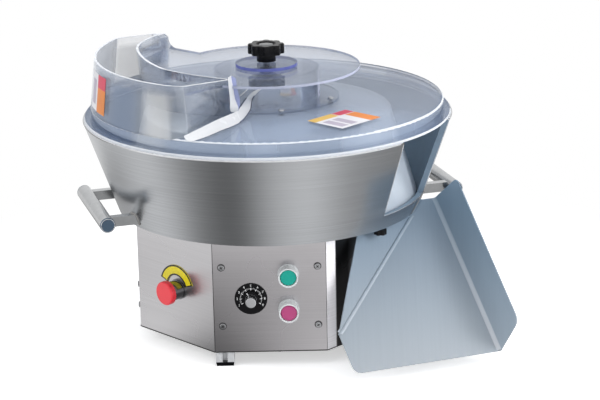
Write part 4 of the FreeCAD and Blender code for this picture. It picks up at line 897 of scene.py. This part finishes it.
knob_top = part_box("lid_knob")[1].z
cap = bmesh.new()
cap_rows = []
for r, z in ((12.6, -2.9), (12.2, -1.6), (10.8, -1.0), (6.0, -0.8), (0.6, -0.75)):
    cap_rows.append([cap.verts.new(Vector((AXIS.x + r * c * MM, AXIS.y + r * q * MM, knob_top + z * MM)))
                     for c, q in spin])
for one, two in zip(cap_rows, cap_rows[1:]):
    for i in range(48):
        k = (i + 1) % 48
        cap.faces.new((one[i], one[k], two[k], two[i]))
cap.faces.new(cap_rows[-1])
add_mesh("lid_knob_cap", cap, cap_grey, "lid_knob")

# Dark line along the casing's bottom edge

half = CASING_APOTHEM * math.tan(math.pi / 8)
bottom_line = bmesh.new()
corner_points = []
for k in range(8):
    azimuth_deg = -90 + 45 * k
    face_n = Vector((math.cos(math.radians(azimuth_deg)), math.sin(math.radians(azimuth_deg))))
    face_t = Vector((-face_n.y, face_n.x))
    for side in (-1, 1):
        spot = face_n * (CASING_APOTHEM + 0.1) + face_t * (side * (half - 1.2))
        corner_points.append(at(spot.x, spot.y, CASING_BOTTOM))
sweep(bottom_line, corner_points, 0.9 * MM, closed=True, sides=6)
add_mesh("casing_bottom_line", bottom_line, black_print_and_shade, "stand")

# Generic colour label on the hopper's outer wall

for index, (mat, low, high, bottom, top) in enumerate((
        (label_white, -168.0, -160.3, 32, 93), (label_orange, -160.3, -152.9, 32, 72),
        (label_red, -160.3, -152.9, 72, 93), (label_grey, -166.3, -162.2, 42, 82))):
    rows = []
    for i in range(9):
        azimuth_deg = low + (high - low) * i / 8
        row = []
        for height in (bottom, top):
            drafted = (HOPPER_TOP - height) / HOPPER_DRAFT_RUN
            radius = BOWL_RADIUS - HOPPER_WALL_TOP + HOPPER_DRAFT * drafted + 0.25 + 0.1 * index
            row.append(polar(radius, azimuth_deg, height))
        rows.append(row)
    strip("hopper_label_" + str(index), rows, mat, "lid", 0.15)

# Floor, light and camera

floor_bm = bmesh.new()
corners = [floor_bm.verts.new((x, y, 0)) for x, y in ((-6, -6), (6, -6), (6, 6), (-6, 6))]
floor_bm.faces.new(corners)

world = bpy.data.worlds.new("studio")
bpy.context.scene.world = world
world.use_nodes = True
tree = world.node_tree
tree.nodes.clear()


def world_node(kind, **values):
    node = tree.nodes.new(kind)
    for key, value in values.items():
        if key in node.inputs:
            node.inputs[key].default_value = value
        else:
            setattr(node, key, value)
    return node


# Soft boxes seen in reflections, as degrees from the front and brightness
STUDIO_RING = ((-180, 0.72), (-120, 0.6), (-75, 0.95), (-40, 0.5), (0, 0.6), (40, 0.7), (90, 0.9), (130, 0.6),
               (180, 0.72))
direction = world_node("ShaderNodeTexCoord").outputs["Generated"]
split = world_node("ShaderNodeSeparateXYZ")
tree.links.new(direction, split.inputs["Vector"])
ring_colour = ring_of_light(tree, split.outputs["X"], split.outputs["Y"], STUDIO_RING)

path = world_node("ShaderNodeLightPath")
soft = world_node("ShaderNodeBackground")
soft.inputs["Color"].default_value = (0.95, 0.97, 1.0, 1)
soft.inputs["Strength"].default_value = 0.62
ring_light = world_node("ShaderNodeBackground")
ring_light.inputs["Strength"].default_value = 1.0
tree.links.new(ring_colour, ring_light.inputs["Color"])
white = world_node("ShaderNodeBackground")
white.inputs["Color"].default_value = (1, 1, 1, 1)
white.inputs["Strength"].default_value = 1.0
mirrored = world_node("ShaderNodeMixShader")
tree.links.new(path.outputs["Is Glossy Ray"], mirrored.inputs["Fac"])
tree.links.new(soft.outputs["Background"], mirrored.inputs[1])
tree.links.new(ring_light.outputs["Background"], mirrored.inputs[2])
seen = world_node("ShaderNodeMath", operation="MAXIMUM")
tree.links.new(path.outputs["Is Camera Ray"], seen.inputs[0])
tree.links.new(path.outputs["Is Transmission Ray"], seen.inputs[1])
mix = world_node("ShaderNodeMixShader")
out = world_node("ShaderNodeOutputWorld")
tree.links.new(seen.outputs["Value"], mix.inputs["Fac"])
tree.links.new(mirrored.outputs["Shader"], mix.inputs[1])
tree.links.new(white.outputs["Background"], mix.inputs[2])
tree.links.new(mix.outputs["Shader"], out.inputs["Surface"])


floor_mat = Nodes("floor_pale")
floor_tone = floor_mat.ramp(floor_mat.noise(floor_mat.coords, 3.0), (0.92, 0.92, 0.92), (0.94, 0.94, 0.94))
floor_mat.link(floor_tone, floor_mat.bsdf.inputs["Base Color"])
floor_mat.set(Roughness=0.9)
floor_path = floor_mat.add("ShaderNodeLightPath")
seen_directly = floor_mat.add("ShaderNodeMath", operation="MAXIMUM")
floor_mat.link(floor_path.outputs["Is Camera Ray"], seen_directly.inputs[0])
floor_mat.link(floor_path.outputs["Is Transmission Ray"], seen_directly.inputs[1])

# Seen directly the floor grows white away from the object
place = floor_mat.add("ShaderNodeSeparateXYZ")
floor_mat.link(floor_mat.coords, place.inputs["Vector"])
reach = floor_mat.add("ShaderNodeVectorMath", operation="LENGTH")
floor_mat.link(floor_mat.coords, reach.inputs[0])
far_away = floor_mat.add("ShaderNodeMapRange", interpolation_type="SMOOTHSTEP")
far_away.inputs["From Min"].default_value = 0.42
far_away.inputs["From Max"].default_value = 0.85
floor_mat.link(reach.outputs["Value"], far_away.inputs["Value"])
whitening = floor_mat.add("ShaderNodeMath", operation="MULTIPLY")
floor_mat.link(far_away.outputs["Result"], whitening.inputs[0])
floor_mat.link(seen_directly.outputs["Value"], whitening.inputs[1])
floor_white = floor_mat.add("ShaderNodeEmission")
floor_white.inputs["Strength"].default_value = 1.0
near_glow = floor_mat.add("ShaderNodeEmission")
lift = floor_mat.add("ShaderNodeMath", operation="MULTIPLY")
lift.inputs[1].default_value = 0.5
floor_mat.link(seen_directly.outputs["Value"], lift.inputs[0])
floor_mat.link(lift.outputs["Value"], near_glow.inputs["Strength"])
lit = floor_mat.add("ShaderNodeAddShader")
floor_mat.link(floor_mat.bsdf.outputs["BSDF"], lit.inputs[0])
floor_mat.link(near_glow.outputs["Emission"], lit.inputs[1])
plain = floor_mat.add("ShaderNodeMixShader")
floor_mat.link(whitening.outputs["Value"], plain.inputs["Fac"])
floor_mat.link(lit.outputs["Shader"], plain.inputs[1])
floor_mat.link(floor_white.outputs["Emission"], plain.inputs[2])

# In reflections the floor near the object shows soft boxes and turns even further out
FLOOR_RING = ((-180, 0.5), (-125, 0.48), (-104, 0.50), (-92, 0.72), (-72, 0.95), (-60, 0.72), (-48, 0.36),
              (-32, 0.17), (-20, 0.17), (-11, 0.38), (-1, 0.66), (8, 0.76), (20, 0.92), (33, 0.66), (46, 0.46),
              (62, 0.42), (80, 0.33), (100, 0.3), (180, 0.5))
near_ring = ring_of_light(floor_mat.tree, place.outputs["X"], place.outputs["Y"], FLOOR_RING)
further = floor_mat.add("ShaderNodeMapRange", interpolation_type="SMOOTHSTEP")
further.inputs["From Min"].default_value = 0.68
further.inputs["From Max"].default_value = 0.98
floor_mat.link(reach.outputs["Value"], further.inputs["Value"])
glow_tone = floor_mat.add("ShaderNodeMix", data_type="RGBA")
floor_mat.link(further.outputs["Result"], glow_tone.inputs["Factor"])
floor_mat.link(near_ring, glow_tone.inputs["A"])
glow_tone.inputs["B"].default_value = (0.95, 0.95, 0.95, 1)
floor_glow = floor_mat.add("ShaderNodeEmission")
floor_mat.link(glow_tone.outputs["Result"], floor_glow.inputs["Color"])
floor_mix = floor_mat.add("ShaderNodeMixShader")
floor_mat.link(floor_path.outputs["Is Glossy Ray"], floor_mix.inputs["Fac"])
floor_mat.link(plain.outputs["Shader"], floor_mix.inputs[1])
floor_mat.link(floor_glow.outputs["Emission"], floor_mix.inputs[2])
floor_mat.link(floor_mix.outputs["Shader"], floor_mat.tree.nodes["Material Output"].inputs["Surface"])
floor = add_mesh("floor", floor_bm, floor_mat.mat, None)


def area_light(name, place, target, size, power, glossy=False, colour=(1, 1, 1)):
    data = bpy.data.lights.new(name, "AREA")
    data.shape = "RECTANGLE"
    data.size, data.size_y = size
    data.energy = power
    data.color = colour
    lamp = bpy.data.objects.new(name, data)
    lamp.location = place
    lamp.rotation_euler = (Vector(target) - Vector(place)).to_track_quat("-Z", "Y").to_euler()
    lamp.visible_glossy = glossy
    bpy.context.scene.collection.objects.link(lamp)


area_light("key_left", (-2.2, -1.0, 1.5), (0, 0, 0.25), (1.0, 1.4), 20)
area_light("key_right", (2.2, -0.9, 1.0), (0, 0, 0.2), (0.9, 1.6), 30)
area_light("top_soft", (0.1, 0.1, 2.2), (0, 0, 0.3), (1.8, 1.8), 26)
area_light("front_low", (0.3, -2.4, 0.7), (0, 0, 0.2), (0.5, 1.0), 8)

ELEVATION = math.radians(16.93)
ROLL = math.radians(1.15)
AIM_OFFSET = (51.6, -149.7, 3288.0)
FOCAL_PIXELS = 1951.6
FRAME_WIDTH = 600
SENSOR = 36.0

up = Vector((0, math.sin(ELEVATION), math.cos(ELEVATION)))
back = Vector((0, -math.cos(ELEVATION), math.sin(ELEVATION)))
right = Vector((1, 0, 0))
camera_data = bpy.data.cameras.new("camera")
camera_data.sensor_width = SENSOR
camera_data.lens = FOCAL_PIXELS * SENSOR / FRAME_WIDTH
camera_data.clip_end = 50
camera = bpy.data.objects.new("camera", camera_data)
place = AXIS + (right * AIM_OFFSET[0] + up * AIM_OFFSET[1] + back * AIM_OFFSET[2]) * MM
turn = Matrix.Rotation(math.pi / 2 - ELEVATION, 4, "X") @ Matrix.Rotation(-ROLL, 4, "Z")
camera.matrix_world = Matrix.Translation(place) @ turn
bpy.context.scene.collection.objects.link(camera)
bpy.context.scene.camera = camera
bpy.context.scene.view_settings.view_transform = "Standard"
